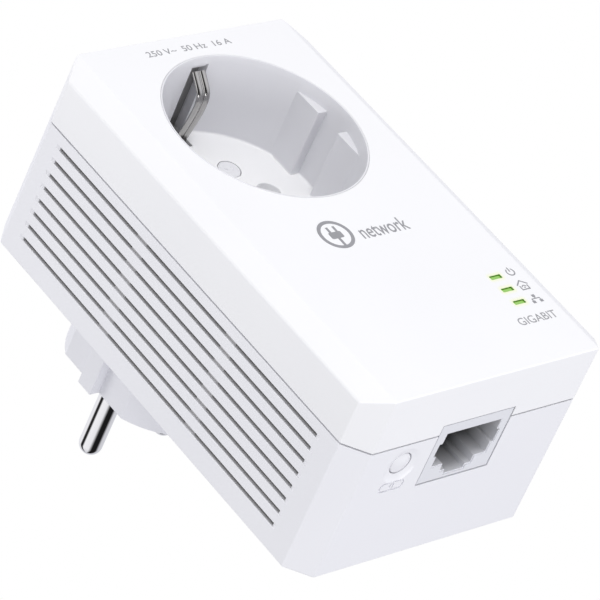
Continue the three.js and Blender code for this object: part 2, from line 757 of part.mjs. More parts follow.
const plungerZ = stemEndZ + gap;
const switchZ = plungerZ + plungerStandsOut;
const plungerEndZ = switchZ + 1;
component("switch_plunger", post(plungerRadius, [plungerZ, plungerEndZ], buttonX, buttonY, 16), 0x2a2a2c);

function pushSwitch() {
  const body = block(
    [buttonX - switchWidth / 2, buttonX + switchWidth / 2],
    [buttonY - switchWidth / 2, boardY - gap],
    [switchZ, switchZ + switchLength],
  );
  const well = [switchZ - 1, plungerEndZ + buttonTravel + gap];
  return cut(body, post(plungerRadius + gap, well, buttonX, buttonY, 16));
}
component("push_switch", pushSwitch(), 0x37383b);

const ledY = boardY - gap;
function lightGuide() {
  const parts = [];
  const behindCover = frontY + wall + gap;
  const lastZ = -windowDrop - (windowCount - 1) * windowPitch;
  for (let i = 0; i < windowCount; i++) {
    const z = -windowDrop - i * windowPitch;
    const tipSpan = [frontY + gap, behindCover + bite];
    parts.push(blockAt(windowX, z, windowWidth - gap, windowHeight - gap, tipSpan));
    parts.push(blockAt(windowX, z, windowWidth, pipeHeight, [behindCover, ledY - ledHeight - gap]));
  }
  const webSpan = [behindCover + pipeHeight, behindCover + 2 * pipeHeight];
  parts.push(blockAt(windowX, (lastZ - windowDrop) / 2, pipeHeight, lastZ + windowDrop, webSpan));
  return join(...parts);
}
add("light_guide", lightGuide(), 0xb9f07c, 0.2);

const ledNames = ["led_power", "led_house", "led_network"];
for (const [i, name] of ledNames.entries()) {
  const z = -windowDrop - i * windowPitch;
  component(name, blockAt(windowX, z, ledWidth, ledLength, [ledY - ledHeight, ledY]), 0xe8f5d8);
}

// ---- Board and what is on it ----

function mainBoard() {
  const half = boardWidth / 2;
  const board = block([-half, half], [boardY, boardBackY], [boardBottomZ, -boardTop]);
  const reach = screwHead + 2 * gap + bossWall;
  const through = [boardY - 1, boardBackY + 1];
  const notches = screwXs.map((x) => blockAt(x, screwZs[0], 2 * reach, 2 * reach, through));
  return cut(board, ...notches);
}
component("main_board", mainBoard(), 0x1f6b3a);

const onFront = (height) => [boardY - gap - height, boardY - gap];
const onBack = (height) => [boardBackY + gap, boardBackY + gap + height];
const fromTop = (distance) => -boardTop - distance;
const rearRoom = rearInnerY - boardBackY - gap;

// Blocks on the board: x, distance below the board's upper edge, width, length and height
const frontBlocks = {
  network_magnetics: { x: 4.5, down: 27.8, size: [16, 6.2, 5.6], colour: 0x1d1e20 },
  coupling_transformer: { x: 11, down: 8, size: [9, 9, 6.5], colour: 0x3a3126 },
  crystal: { x: 4.4, down: 14, size: [3.2, 5, 1], colour: 0xc8c8cc },
  memory: { x: 19.5, down: 20.2, size: [8, 5, 1.1], colour: 0x222326 },
};
const backBlocks = {
  suppression_capacitor: { x: -19.6, down: 14, size: [6, 13, rearRoom - 3.5], colour: 0xd8c33a },
  bridge_rectifier: { x: -14, down: 37, size: [5, 6.5, 2.6], colour: 0x222326 },
  optocoupler: { x: -6, down: 34, size: [6.5, 4.6, 3.4], colour: 0x232427 },
};
for (const [blocks, span] of [[frontBlocks, onFront], [backBlocks, onBack]]) {
  for (const [name, { x, down, size: [width, length, height], colour }] of Object.entries(blocks)) {
    component(name, blockAt(x, fromTop(down), width, length, span(height)), colour);
  }
}

// The processor and its finned heatsink
const chip = { x: -9, down: 14, size: [12, 12, 1.2] };
const sink = { side: 19, base: 1.6, height: 8, fins: 7, finThick: 1.2 };
const [chipWidth, chipLength, chipHeight] = chip.size;
const processor = blockAt(chip.x, fromTop(chip.down), chipWidth, chipLength, onFront(chipHeight));
component("processor", processor, 0x222326);
function heatsink() {
  const backY = boardY - 2 * gap - chipHeight;
  const z = fromTop(chip.down);
  const fins = [];
  for (let i = 0; i < sink.fins; i++) {
    const x = chip.x + (i / (sink.fins - 1) - 0.5) * (sink.side - sink.finThick);
    fins.push(blockAt(x, z, sink.finThick, sink.side, [backY - sink.height, backY - sink.base / 2]));
  }
  return join(blockAt(chip.x, z, sink.side, sink.side, [backY - sink.base, backY]), ...fins);
}
metal("heatsink", heatsink(), 0xb4b6ba);

// The supply's transformer: a ferrite frame round a winding
const core = { x: -6, down: 20, width: 15, length: 14, height: 9.6, limb: 2 };
function transformer() {
  const z = fromTop(core.down);
  const [nearY, farY] = onBack(core.height);
  const windowX = core.width - 2 * (core.limb + 1);
  const frame = blockAt(core.x, z, core.width, core.length, [nearY, farY]);
  const opening = blockAt(core.x, z, windowX, core.length + 1, [nearY + core.limb, farY - core.limb]);
  const windingSpan = [nearY + core.limb / 2, farY - core.limb / 2];
  return join(cut(frame, opening), blockAt(core.x, z, windowX - bite, core.length + 2, windingSpan));
}
component("switching_transformer", transformer(), 0xd8a93c);

// Round parts
const can = { radius: 4, x: 12, downs: [17, 27], height: rearRoom - 2.5 };
can.downs.forEach((down, i) => {
  const body = disc(can.radius, onBack(can.height), can.x, fromTop(down), 20);
  component(`bulk_capacitor_${i + 1}`, body, 0x26324d);
});
const toroid = { radius: 5.2, bore: 2.2, height: 6, x: 13, down: 37 };
function choke() {
  const ys = onBack(toroid.height);
  const z = fromTop(toroid.down);
  const bore = disc(toroid.bore, [ys[0] - 1, ys[1] + 1], toroid.x, z, 16);
  return cut(disc(toroid.radius, ys, toroid.x, z), bore);
}
component("noise_choke", choke(), 0x6b3a1c);
const varistor = { radius: 4, x: -19.5, down: 27.5, standsOff: 1, thick: 3 };
const varistorY = boardBackY + gap + varistor.standsOff;
const varistorSpan = [varistorY, varistorY + varistor.thick];
component("varistor", disc(varistor.radius, varistorSpan, varistor.x, fromTop(varistor.down), 20), 0x2f62a8);
const fuse = { radius: 2, x: 1, down: 1.4, length: 7.2, standsOff: 0.2 };
const fuseSpan = [fromTop(fuse.down + fuse.length), fromTop(fuse.down)];
const fuseY = boardBackY + gap + fuse.standsOff + fuse.radius;
component("fuse", post(fuse.radius, fuseSpan, fuse.x, fuseY, 16), 0x8d8f6a);

export default root;
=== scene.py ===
import math
import bmesh
import bpy
from mathutils import Matrix, Vector


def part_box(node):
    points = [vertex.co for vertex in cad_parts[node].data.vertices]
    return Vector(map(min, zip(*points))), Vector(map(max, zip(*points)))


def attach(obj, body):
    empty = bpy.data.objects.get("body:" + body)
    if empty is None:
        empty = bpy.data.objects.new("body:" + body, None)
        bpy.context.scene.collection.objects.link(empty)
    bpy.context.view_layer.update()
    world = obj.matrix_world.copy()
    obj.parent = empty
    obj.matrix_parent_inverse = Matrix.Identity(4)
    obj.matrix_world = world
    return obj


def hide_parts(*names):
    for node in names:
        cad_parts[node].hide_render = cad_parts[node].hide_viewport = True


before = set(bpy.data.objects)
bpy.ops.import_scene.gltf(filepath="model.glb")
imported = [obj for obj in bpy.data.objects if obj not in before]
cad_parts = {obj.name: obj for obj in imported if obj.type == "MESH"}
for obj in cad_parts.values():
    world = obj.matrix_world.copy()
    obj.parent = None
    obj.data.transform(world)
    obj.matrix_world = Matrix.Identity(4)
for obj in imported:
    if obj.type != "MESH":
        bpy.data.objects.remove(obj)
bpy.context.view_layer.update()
print("frame loaded:", len(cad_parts), "nodes")

# Shapes are worked out in millimetres and turned to metres once, when a piece is made.
metres = 0.001


def boxOf(node):
    low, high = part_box(node)
    return Vector(low) / metres, Vector(high) / metres


def linear(hexColour):  # sRGB hex to the linear values that a shader takes
    parts = [int(hexColour[i:i + 2], 16) / 255 for i in (1, 3, 5)]
    return [c / 12.92 if c <= 0.04045 else ((c + 0.055) / 1.055) ** 2.4 for c in parts] + [1]


def everything(bm):
    return bm.verts[:] + bm.edges[:] + bm.faces[:]


def flatten(bm):  # faces that lie in one plane become one face
    bmesh.ops.dissolve_limit(bm, angle_limit=math.radians(0.5), verts=bm.verts, edges=bm.edges)
    return bm


def block(low, high):
    bm = bmesh.new()
    bmesh.ops.create_cube(bm, size=1)
    low, high = Vector(low), Vector(high)
    bmesh.ops.scale(bm, vec=high - low, verts=bm.verts)
    bmesh.ops.translate(bm, vec=(low + high) / 2, verts=bm.verts)
    return bm


def roundEdges(bm, width, segments=3, choose=None, sharp=25):
    edges = [e for e in bm.edges if len(e.link_faces) == 2 and e.calc_face_angle(0) > math.radians(sharp)]
    if choose:
        edges = [e for e in edges if choose(*(v.co for v in e.verts))]
    bmesh.ops.bevel(bm, geom=edges, offset=width, offset_type="OFFSET", affect="EDGES", segments=segments,
                    profile=0.5, material=-1, clamp_overlap=True)
    return bm


def turned(profile, steps=96, x=0, z=0):  # spun about a line along Y; a point is (radius, y)
    bm = bmesh.new()
    verts = [bm.verts.new((radius, y, 0)) for radius, y in profile]
    edges = [bm.edges.new(pair) for pair in zip(verts, verts[1:])]
    bmesh.ops.spin(bm, geom=verts + edges, cent=(0, 0, 0), axis=(0, 1, 0), angle=2 * math.pi, steps=steps,
                   use_merge=True)
    bmesh.ops.remove_doubles(bm, verts=bm.verts, dist=1e-4)
    bmesh.ops.recalc_face_normals(bm, faces=bm.faces)
    bmesh.ops.translate(bm, vec=(x, 0, z), verts=bm.verts)
    return bm


def drum(radius, y0, y1, x=0, z=0, steps=48):
    return turned([(0, y0), (radius, y0), (radius, y1), (0, y1)], steps, x, z)


def upright(bm, x, y):  # a shape spun about Y is stood along Z, its y becoming z
    bmesh.ops.rotate(bm, cent=(0, 0, 0), matrix=Matrix.Rotation(math.pi / 2, 3, "X"), verts=bm.verts)
    bmesh.ops.translate(bm, vec=(x, y, 0), verts=bm.verts)
    return bm


def together(parts):  # several shapes that stay clear of each other, as one mesh
    bm = bmesh.new()
    for part in parts:
        mesh = bpy.data.meshes.new("part")
        part.to_mesh(mesh)
        part.free()
        bm.from_mesh(mesh)
        bpy.data.meshes.remove(mesh)
    return bm


def prism(points, axis, low, high):  # an outline in the plane at right angles to an axis, drawn out along it
    bm = bmesh.new()
    spots = []
    for u, v in points:
        spot = [u, v]
        spot.insert(axis, low)
        spots.append(bm.verts.new(spot))
    face = bm.faces.new(spots)
    made = bmesh.ops.extrude_face_region(bm, geom=[face])
    shift = Vector([high - low if i == axis else 0 for i in range(3)])
    bmesh.ops.translate(bm, vec=shift, verts=[v for v in made["geom"] if isinstance(v, bmesh.types.BMVert)])
    bmesh.ops.recalc_face_normals(bm, faces=bm.faces)
    return bm


def sweep(section, path, side):  # a closed section carried along a path; its first direction stays on side
    path = [Vector(p) for p in path]
    side = Vector(side)
    closed = (path[0] - path[-1]).length < 1e-6
    frames = []
    for i, point in enumerate(path):
        ahead = path[(i + 1) if i + 1 < len(path) else (1 if closed else i)] - point
        behind = point - path[i - 1 if i > 0 else (-2 if closed else i)]
        ahead = (ahead if ahead.length > 1e-9 else behind).normalized()
        behind = (behind if behind.length > 1e-9 else ahead).normalized()
        along = (ahead + behind).normalized()
        stretch = 1 / max(0.3, along.dot(ahead))  # keeps the width the same round a corner
        turn = Matrix((side, along.cross(side) * stretch, along)).transposed().to_4x4()
        frames.append(Matrix.Translation(point) @ turn)
    bm = bmesh.new()
    ring = [bm.verts.new(frames[0] @ Vector((u, v, 0))) for u, v in section]
    edges = [bm.edges.new(pair) for pair in zip(ring, ring[1:] + ring[:1])]
    for last, now in zip(frames, frames[1:]):
        made = bmesh.ops.extrude_edge_only(bm, edges=edges)["geom"]
        edges = [e for e in made if isinstance(e, bmesh.types.BMEdge)
                 and all(v in made for v in e.verts) and len(e.link_faces) == 1]
        verts = [v for v in made if isinstance(v, bmesh.types.BMVert)]
        bmesh.ops.transform(bm, matrix=now @ last.inverted(), verts=verts)
    bmesh.ops.remove_doubles(bm, verts=bm.verts, dist=1e-4)
    bmesh.ops.holes_fill(bm, edges=bm.edges, sides=0)
    bmesh.ops.recalc_face_normals(bm, faces=bm.faces)
    return bm


def arc(centre, radius, start, end, steps=24):
    turns = [math.radians(start + (end - start) * i / steps) for i in range(steps + 1)]
    return [(centre[0] + radius * math.cos(t), centre[1] + radius * math.sin(t)) for t in turns]


def flipped(bm, axis):  # a mirror image across the plane at right angles to an axis
    vec = [-1 if i == axis else 1 for i in range(3)]
    bmesh.ops.scale(bm, vec=vec, verts=bm.verts)
    bmesh.ops.reverse_faces(bm, faces=bm.faces)
    return bm


def combine(base, operation, *tools):
    shapes = []
    for bm in (base, *tools):
        mesh = bpy.data.meshes.new("shape")
        bm.to_mesh(mesh)
        bm.free()
        shapes.append(bpy.data.objects.new("shape", mesh))
        bpy.context.scene.collection.objects.link(shapes[-1])
    for tool in shapes[1:]:
        step = shapes[0].modifiers.new("step", "BOOLEAN")
        step.operation, step.solver, step.object = operation, "MANIFOLD", tool
    bpy.context.view_layer.update()
    made = bpy.data.meshes.new_from_object(shapes[0].evaluated_get(bpy.context.evaluated_depsgraph_get()))
    result = bmesh.new()
    result.from_mesh(made)
    for shape in shapes:
        bpy.data.meshes.remove(shape.data)
    bpy.data.meshes.remove(made)
    bmesh.ops.remove_doubles(result, verts=result.verts, dist=1e-4)
    return flatten(result)


def makePiece(name, bm, material, body="case", nodes=(), smooth=35):
    bmesh.ops.scale(bm, vec=(metres, metres, metres), verts=bm.verts)
    mesh = bpy.data.meshes.new(name)
    bm.to_mesh(mesh)
    bm.free()
    mesh.polygons.foreach_set("use_smooth", [True] * len(mesh.polygons))
    mesh.set_sharp_from_angle(angle=math.radians(smooth))
    mesh.materials.append(material)
    piece = bpy.data.objects.new(name, mesh)
    bpy.context.scene.collection.objects.link(piece)
    level = piece.modifiers.new("level", "WEIGHTED_NORMAL")  # keeps flat faces flat beside rounded edges
    level.keep_sharp = True
    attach(piece, body)
    if nodes:
        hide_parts(*nodes)
    return piece


def addNode(tree, kind, settings=(), links=()):
    node = tree.nodes.new(kind)
    for key, value in dict(settings).items():
        if isinstance(key, int) or key in node.inputs:
            node.inputs[key].default_value = value
        else:
            setattr(node, key, value)
    for key, source in dict(links).items():
        tree.links.new(source, node.inputs[key])
    return node


def reckon(tree, operation, *values, **settings):  # arithmetic on numbers and on other nodes' outputs
    links = {i: value for i, value in enumerate(values) if isinstance(value, bpy.types.NodeSocket)}
    numbers = {i: value for i, value in enumerate(values) if i not in links}
    return addNode(tree, "ShaderNodeMath", {"operation": operation, **settings, **numbers}, links).outputs[0]


def fit(tree, value, low, high, toLow=0, toHigh=1, kind="LINEAR"):  # a value moved from one range to another
    return addNode(tree, "ShaderNodeMapRange", {
        "interpolation_type": kind, "From Min": low, "From Max": high, "To Min": toLow, "To Max": toHigh},
        {"Value": value}).outputs["Result"]


def blend(tree, share, *colours):  # two colours, each a hex or another node's output
    settings, links = {"data_type": "RGBA"}, {0: share}
    for slot, colour in zip((6, 7), colours):
        if isinstance(colour, str):
            settings[slot] = linear(colour)
        else:
            links[slot] = colour
    return addNode(tree, "ShaderNodeMix", settings, links).outputs[2]


def noise(tree, place, size, detail):  # the size in millimetres
    return addNode(tree, "ShaderNodeTexNoise", {"Scale": 1 / (size * metres), "Detail": detail},
                   {"Vector": place}).outputs["Fac"]


def axesOf(tree, place):
    return addNode(tree, "ShaderNodeSeparateXYZ", (), {0: place}).outputs


def distanceFrom(tree, value, middle):
    return reckon(tree, "ABSOLUTE", reckon(tree, "SUBTRACT", value, middle))


def startMaterial(name, shaderSettings):
    material = bpy.data.materials.new(name)
    material.use_nodes = True
    tree = material.node_tree
    shader = tree.nodes["Principled BSDF"]
    for key, value in shaderSettings.items():
        shader.inputs[key].default_value = value
    return material, tree, shader, tree.nodes.new("ShaderNodeTexCoord").outputs["Object"]


def dress(tree, shader, tone, grain, roughness, bump, deep):  # a colour, and a grain in the sheen and the surface
    relief = addNode(tree, "ShaderNodeBump", {"Strength": bump, "Distance": deep * metres}, {"Height": grain})
    for key, source in (("Base Color", tone), ("Roughness", fit(tree, grain, 0, 1, *roughness)),
                        ("Normal", relief.outputs["Normal"])):
        tree.links.new(source, shader.inputs[key])


plastic = {"ior": 1.52, "drift": 30, "grain": 0.35, "bump": 0.35, "deep": 0.006, "smoother": 0.04, "rougher": 0.05}
metal = {"lines": 0.25, "bump": 0.15, "deep": 0.002, "smoother": 0.8, "rougher": 1.35}


def mouldedPlastic(name, made):
    # Injection-moulded ABS, or a like plastic, resin or ink: a soft sheen over a fine spark-eroded grain, with a
    # faint drift of tone. The grain is really 0.1 mm, drawn coarser so that it shows.
    rough = made["roughness"]
    material, tree, shader, place = startMaterial(name, {"Roughness": rough, "IOR": plastic["ior"]})
    tone = blend(tree, noise(tree, place, made.get("drift", plastic["drift"]), 2), made["colour"], made["second"])
    dress(tree, shader, tone, noise(tree, place, plastic["grain"], 3),
          (rough - plastic["smoother"], rough + plastic["rougher"]), made.get("bump", plastic["bump"]),
          plastic["deep"])
    return material, tree, shader, place, tone


def platedMetal(name, made):
    # Stamped or turned metal under a thin plate: mirror-like, with fine draw lines along one axis.
    rough = made["roughness"]
    material, tree, shader, place = startMaterial(name, {
        "Metallic": 1, "Roughness": rough, "Base Color": linear(made["colour"])})
    drawn = addNode(tree, "ShaderNodeMapping", {"Scale": made["lines"]}, {"Vector": place}).outputs["Vector"]
    lines = noise(tree, drawn, metal["lines"], 4)
    dress(tree, shader, blend(tree, lines, made["colour"], made["second"]), lines,
          (rough * metal["smoother"], rough * metal["rougher"]), made.get("bump", metal["bump"]), metal["deep"])
    return material


def look(colour, second, roughness, **more):  # the two tones it drifts between, then what departs from its kind
    return {"colour": colour, "second": second, "roughness": roughness, **more}


plasticLooks = {
    "coverAbs": look("#F6F6F8", "#F1F1F4", 0.36),
    "housingAbs": look("#F0F0F4", "#EBEBF0", 0.42),
    "socketAbs": look("#E6E6EA", "#E0E0E5", 0.38),
    "capAbs": look("#F3F3F6", "#EEEEF2", 0.34),
    "plugAbs": look("#EDEDF1", "#E6E6EC", 0.4),
    "buttonAbs": look("#EEEEF2", "#E9E9EE", 0.3),
    "jackPbt": look("#E4E5EA", "#DCDDE3", 0.4),
    "shutterPom": look("#ECECEF", "#E6E6EA", 0.3),
    "carrierUrea": look("#D9D3C2", "#CDC6B2", 0.45, drift=8),
    "labelFilm": look("#DCDDE0", "#D4D5D9", 0.3, bump=0.1),
    "chipEpoxy": look("#1B1B1E", "#252529", 0.5, bump=0.6, drift=3),
    "solderMask": look("#145A2E", "#1E6E3A", 0.28, drift=6),
    "ferrite": look("#2B241F", "#3A3029", 0.55, bump=0.7, drift=2),
    "windingTape": look("#C8942B", "#B5821F", 0.3, drift=3),
    "canSleeve": look("#1D2745", "#27345A", 0.25, drift=5),
    "filmBox": look("#CDB22C", "#BDA120", 0.4, drift=5),
    "dippedEpoxy": look("#265A9C", "#1E4B86", 0.3, drift=3),
    "fuseCeramic": look("#8D8B6A", "#7C7A5B", 0.5, drift=2),
    "ledEpoxy": look("#E2EFC8", "#D5E6B4", 0.2, drift=2),
    "printInk": look("#96969B", "#8E8E93", 0.5, bump=0.1, drift=2),
    "paleInk": look("#9C9CA0", "#939398", 0.5, bump=0.1, drift=2),
    "darkInk": look("#4A4B50", "#404146", 0.5, bump=0.1, drift=2),
}
metalLooks = {
    "polishedNickel": look("#E6E5E4", "#DEDDDB", 0.07, lines=(1, 0.05, 1)),
    "clipNickel": look("#B2B1B0", "#9C9A98", 0.16, lines=(1, 0.08, 0.08), bump=0.03),
    "stampedBrass": look("#D9B45B", "#C79F45", 0.25, lines=(1, 0.1, 1)),
    "goldFlash": look("#E6BE5A", "#D9AC43", 0.18, lines=(1, 0.1, 0.1)),
    "zincSteel": look("#B4B5B8", "#9FA0A4", 0.3, lines=(1, 1, 1)),
    "springWire": look("#A7A9AC", "#8F9195", 0.3, lines=(1, 1, 1)),
    "extrudedAluminium": look("#C3C5C8", "#B2B4B8", 0.35, lines=(1, 1, 0.05)),
}
materials = {name: mouldedPlastic(name, made)[0] for name, made in plasticLooks.items()
             if name not in ("coverAbs", "housingAbs", "jackPbt", "socketAbs")}
materials.update({name: platedMetal(name, made) for name, made in metalLooks.items()})

lamp = {"glow": "#8DBF45", "second": "#B3CE58", "cloud": 1.2, "edge": "#5B9440", "body": "#C9D2C6", "tip": 1,
        "fade": 0.6, "strength": 0.45}
halo = {"colour": "#F1F5C4", "amount": 0.75, "reach": 1.1, "halfX": 1.25, "halfZ": 0.4, "wallDeep": 0.14}
guideLow, guideHigh = boxOf("light_guide")
frontY = boxOf("front_cover")[0].y
windowCount, windowPitch = 3, 3.5
windowX = (guideLow.x + guideHigh.x) / 2
windowMid = (guideLow.z + guideHigh.z) / 2


def coverPlastic():
    # The cover's ABS. The green round the three windows is painted in, as if their light fell on it.
    material, tree, shader, place, tone = mouldedPlastic("coverAbs", plasticLooks["coverAbs"])
    x, y, z = axesOf(tree, place)
    fromMid = reckon(tree, "SUBTRACT", z, windowMid * metres)
    # folding z about each window lets one distance serve all three
    nearest = reckon(tree, "PINGPONG", fromMid, windowPitch * metres / 2)
    across = distanceFrom(tree, x, windowX * metres)
    side, up = (reckon(tree, "MAXIMUM", reckon(tree, "SUBTRACT", value, halo[half] * metres), 0)
                for value, half in ((across, "halfX"), (nearest, "halfZ")))
    spot = addNode(tree, "ShaderNodeCombineXYZ", (), {"X": side, "Z": up}).outputs[0]
    away = addNode(tree, "ShaderNodeVectorMath", {"operation": "LENGTH"}, {0: spot}).outputs["Value"]
    fade = fit(tree, away, 0, halo["reach"] * metres, halo["amount"], 0, "SMOOTHSTEP")
    inRow = reckon(tree, "LESS_THAN", reckon(tree, "ABSOLUTE", fromMid), windowPitch * windowCount / 2 * metres)
    amount = reckon(tree, "MULTIPLY", fade, inRow)
    # the windows' own walls get the green of the lamps' light painted in, right through
    deep = reckon(tree, "GREATER_THAN", y, (frontY + halo["wallDeep"]) * metres)
    inside = reckon(tree, "MULTIPLY", reckon(tree, "MULTIPLY", deep, amount), 2, use_clamp=True)
    paintedGlowTone = blend(tree, inside, blend(tree, amount, tone, halo["colour"]), lamp["edge"])
    tree.links.new(paintedGlowTone, shader.inputs["Base Color"])
    return material


def litWindow():
    # Clear polycarbonate light guide: its tips glow green behind the windows, and its body stays clear and dim.
    material, tree, shader, place = startMaterial("litPolycarbonate", {
        "Base Color": linear(lamp["edge"]), "Roughness": 0.25, "IOR": 1.58,
        "Emission Strength": lamp["strength"]})
    tipY = frontY + lamp["tip"]
    depth = fit(tree, axesOf(tree, place)["Y"], tipY * metres, (tipY + lamp["fade"]) * metres)
    cloud = noise(tree, place, lamp["cloud"], 1)
    for key, source in (("Emission Color", blend(tree, cloud, lamp["glow"], lamp["second"])),
                        ("Emission Strength", fit(tree, depth, 0, 1, lamp["strength"], 0)),
                        ("Base Color", blend(tree, depth, lamp["edge"], lamp["body"]))):
        tree.links.new(source, shader.inputs[key])
    return material


def shadeWithDepth(name, axis, near, far, deepColour, span=()):
    # Moulded ABS with painted shade in its recesses, and for the socket painted light on its floor: the tone
    # changes from one depth to another along an axis.
    material, tree, shader, place, tone = mouldedPlastic(name, plasticLooks[name])
    axes = axesOf(tree, place)
    depth = fit(tree, reckon(tree, "ABSOLUTE", axes[axis]), near * metres, far * metres)
    for other, (low, high) in dict(span).items():
        off = distanceFrom(tree, axes[other], (low + high) / 2 * metres)
        within = reckon(tree, "LESS_THAN", off, (high - low) / 2 * metres)
        depth = reckon(tree, "MULTIPLY", depth, within)
    tree.links.new(blend(tree, depth, tone, deepColour), shader.inputs["Base Color"])
    return material


# where each painted shade, and the socket floor's painted light, starts and is full, in millimetres from the
# outside of the case or from the socket's floor, and the stretch that the vents take up
ventShade = {"start": 0.12, "full": 1.15, "colour": "#96948F", "span": {"Y": (-49.2, -22.5), "Z": (-64.5, 21.5)}}
jackShade = {"start": 1, "full": 7, "colour": "#5C5D60"}
# painted light: the socket's floor is given a paler tone than its walls
floorPaintedLight = {"start": 0.5, "full": 0.05, "colour": "#FDFDFE"}
caseSide, caseEnd = boxOf("rear_housing")[1].x, -boxOf("rear_housing")[0].z
materials["coverAbs"] = coverPlastic()
materials["litPolycarbonate"] = litWindow()
materials["housingAbs"] = shadeWithDepth("housingAbs", "X", caseSide - ventShade["start"],
                                         caseSide - ventShade["full"], ventShade["colour"], ventShade["span"])
materials["jackPbt"] = shadeWithDepth("jackPbt", "Z", caseEnd - jackShade["start"], caseEnd - jackShade["full"],
                                      jackShade["colour"])
print("materials made:", len(materials))

case = {"wall": 2, "gap": 0.3, "sideBevelX": 4.3, "sideBevelY": 2.6, "cornerCut": 4.3, "lean": 0.74,
        "edgeRound": 0.32, "rimRound": 0.16, "skin": 0.03, "trim": 0.004, "tongue": 1.5, "tongueWall": 0.9,
        "bossWall": 1.5, "screwHead": 1.8, "pilot": 1.55}
coverHigh = boxOf("front_cover")[1]
housingLow, housingHigh = boxOf("rear_housing")
jackLow, jackHigh = boxOf("network_jack")
seamY, rearY = coverHigh.y, housingHigh.y
halfWidth = coverHigh.x
topZ, bottomZ = housingHigh.z - case["lean"], housingLow.z + case["lean"]
wide = 2 * (topZ - bottomZ)


def leanAt(y):
    return case["lean"] * (y - frontY) / (rearY - frontY)


def caseHull(inset):
    x, corner = halfWidth - inset, case["cornerCut"] - inset * (2 - math.sqrt(2))
    slope = math.hypot(case["sideBevelX"], case["sideBevelY"])
    frontX = halfWidth - case["sideBevelX"] - inset * (slope - case["sideBevelX"]) / case["sideBevelY"]
    sideY = frontY + case["sideBevelY"] + inset * (slope - case["sideBevelY"]) / case["sideBevelX"]
    back = rearY - inset
    rows = [(frontX, frontY + inset, 0), (x, sideY, corner), (x, back, corner), (x - corner, back, 0)]
    bm = bmesh.new()
    for rowX, y, cutZ in rows:
        for side in (-1, 1):
            bm.verts.new((side * rowX, y, bottomZ - leanAt(y) + inset + cutZ))
            bm.verts.new((side * rowX, y, topZ + leanAt(y) - inset - cutZ))
    bmesh.ops.convex_hull(bm, input=bm.verts)
    bmesh.ops.recalc_face_normals(bm, faces=bm.faces)
    return flatten(bm)


def between(bm, y0, y1):  # what lies between two depths
    for y, way in ((y0, -1), (y1, 1)):
        cut = bmesh.ops.bisect_plane(bm, geom=everything(bm), plane_co=(0, y, 0), plane_no=(0, way, 0),
                                     clear_outer=True)
        edges = [e for e in cut["geom_cut"] if isinstance(e, bmesh.types.BMEdge)]
        if edges:
            bmesh.ops.contextual_create(bm, geom=edges)
            bmesh.ops.recalc_face_normals(bm, faces=bm.faces)
    return bm


def hullRing(outside, inside, y0, y1):
    return combine(between(caseHull(outside), y0, y1), "DIFFERENCE",
                   between(caseHull(inside), y0 - 1, y1 + 1))


def screwPlaces():
    for name in ("lower_left", "upper_left", "lower_right", "upper_right"):
        low, high = boxOf("case_screw_" + name)
        yield name, (low.x + high.x) / 2, (low.z + high.z) / 2, low, high


def jackHole():
    gap = case["gap"] - 0.05
    return block((jackLow.x - gap, jackLow.y - gap, bottomZ - wide),
                 (jackHigh.x + gap, jackHigh.y + gap, bottomZ + 4))


cover = {"windowWide": 2.9, "windowHigh": 1.05, "mouthGap": 0.04, "mouthFlare": 0.07}
rimRadius = 20.64


def buildCover():
    shell = between(roundEdges(caseHull(case["trim"]), case["edgeRound"]), frontY + case["skin"], seamY)
    roundEdges(shell, case["rimRound"], 2, lambda a, b: min(a.y, b.y) > seamY - 1e-3)
    inner = between(caseHull(case["wall"]), frontY, seamY + 1)
    mouth = rimRadius + cover["mouthGap"]
    flare = cover["mouthFlare"]
    y = frontY + case["skin"]
    mouthTool = turned([(0, y - 1), (mouth + flare + 1, y - 1), (mouth + flare, y), (mouth, y + flare),
                        (mouth, y + 4), (0, y + 4)], 160)
    windows = []
    for i in range(windowCount):
        z = windowMid + (i - 1) * windowPitch
        halfX, halfZ = cover["windowWide"] / 2, cover["windowHigh"] / 2
        windows.append(roundEdges(block((windowX - halfX, frontY - 1, z - halfZ),
                                        (windowX + halfX, frontY + 4, z + halfZ)), 0.18, 2,
                                  lambda a, b: abs(a.y - b.y) > 1))
    shell = combine(shell, "DIFFERENCE", inner)
    bosses = together([drum(3.05, frontY + 1, seamY - case["gap"], x, z) for _, x, z, _, _ in screwPlaces()])
    shell = combine(shell, "UNION", bosses)
    pilots = together([drum(case["pilot"], frontY + case["wall"], seamY + 1, x, z)
                       for _, x, z, _, _ in screwPlaces()])
    shell = combine(shell, "DIFFERENCE", pilots, mouthTool, together(windows), jackHole())
    makePiece("coverShell", shell, materials["coverAbs"], nodes=["front_cover"])


buildCover()
print("cover made")

vents = {"rows": 8, "pitch": 3.15, "first": 3, "width": 0.86, "depth": 0.66, "flare": 0.09, "ramp": 3.6,
         "length": 82.3, "middle": -21.4, "open": 24.6, "bridge": 3, "slotWidth": 0.84}
plug = {"radius": 18.7, "flat": 16.2, "reach": 18.5, "rib": 4, "wall": 2.2, "flange": 2, "flangeThick": 1.6,
        "notchWide": 6.4, "notchFloor": 16.3, "notchLength": 17.5, "edgeRound": 0.3}
button = {"play": 0.2, "dish": 4.2, "dishDepth": 0.5, "dome": 0.4, "flange": 0.8, "stem": 1.4}
buttonLow, buttonHigh = boxOf("pair_button")
buttonX, buttonY = (buttonLow.x + buttonHigh.x) / 2, (buttonLow.y + buttonHigh.y) / 2
buttonRadius = (buttonHigh.x - buttonLow.x) / 2 - button["flange"]
linkMark = {"x": -16.2, "y": -40, "apart": 2.5, "straight": 1.4, "radius": 0.95, "sunk": 0.3, "stroke": 0.42}


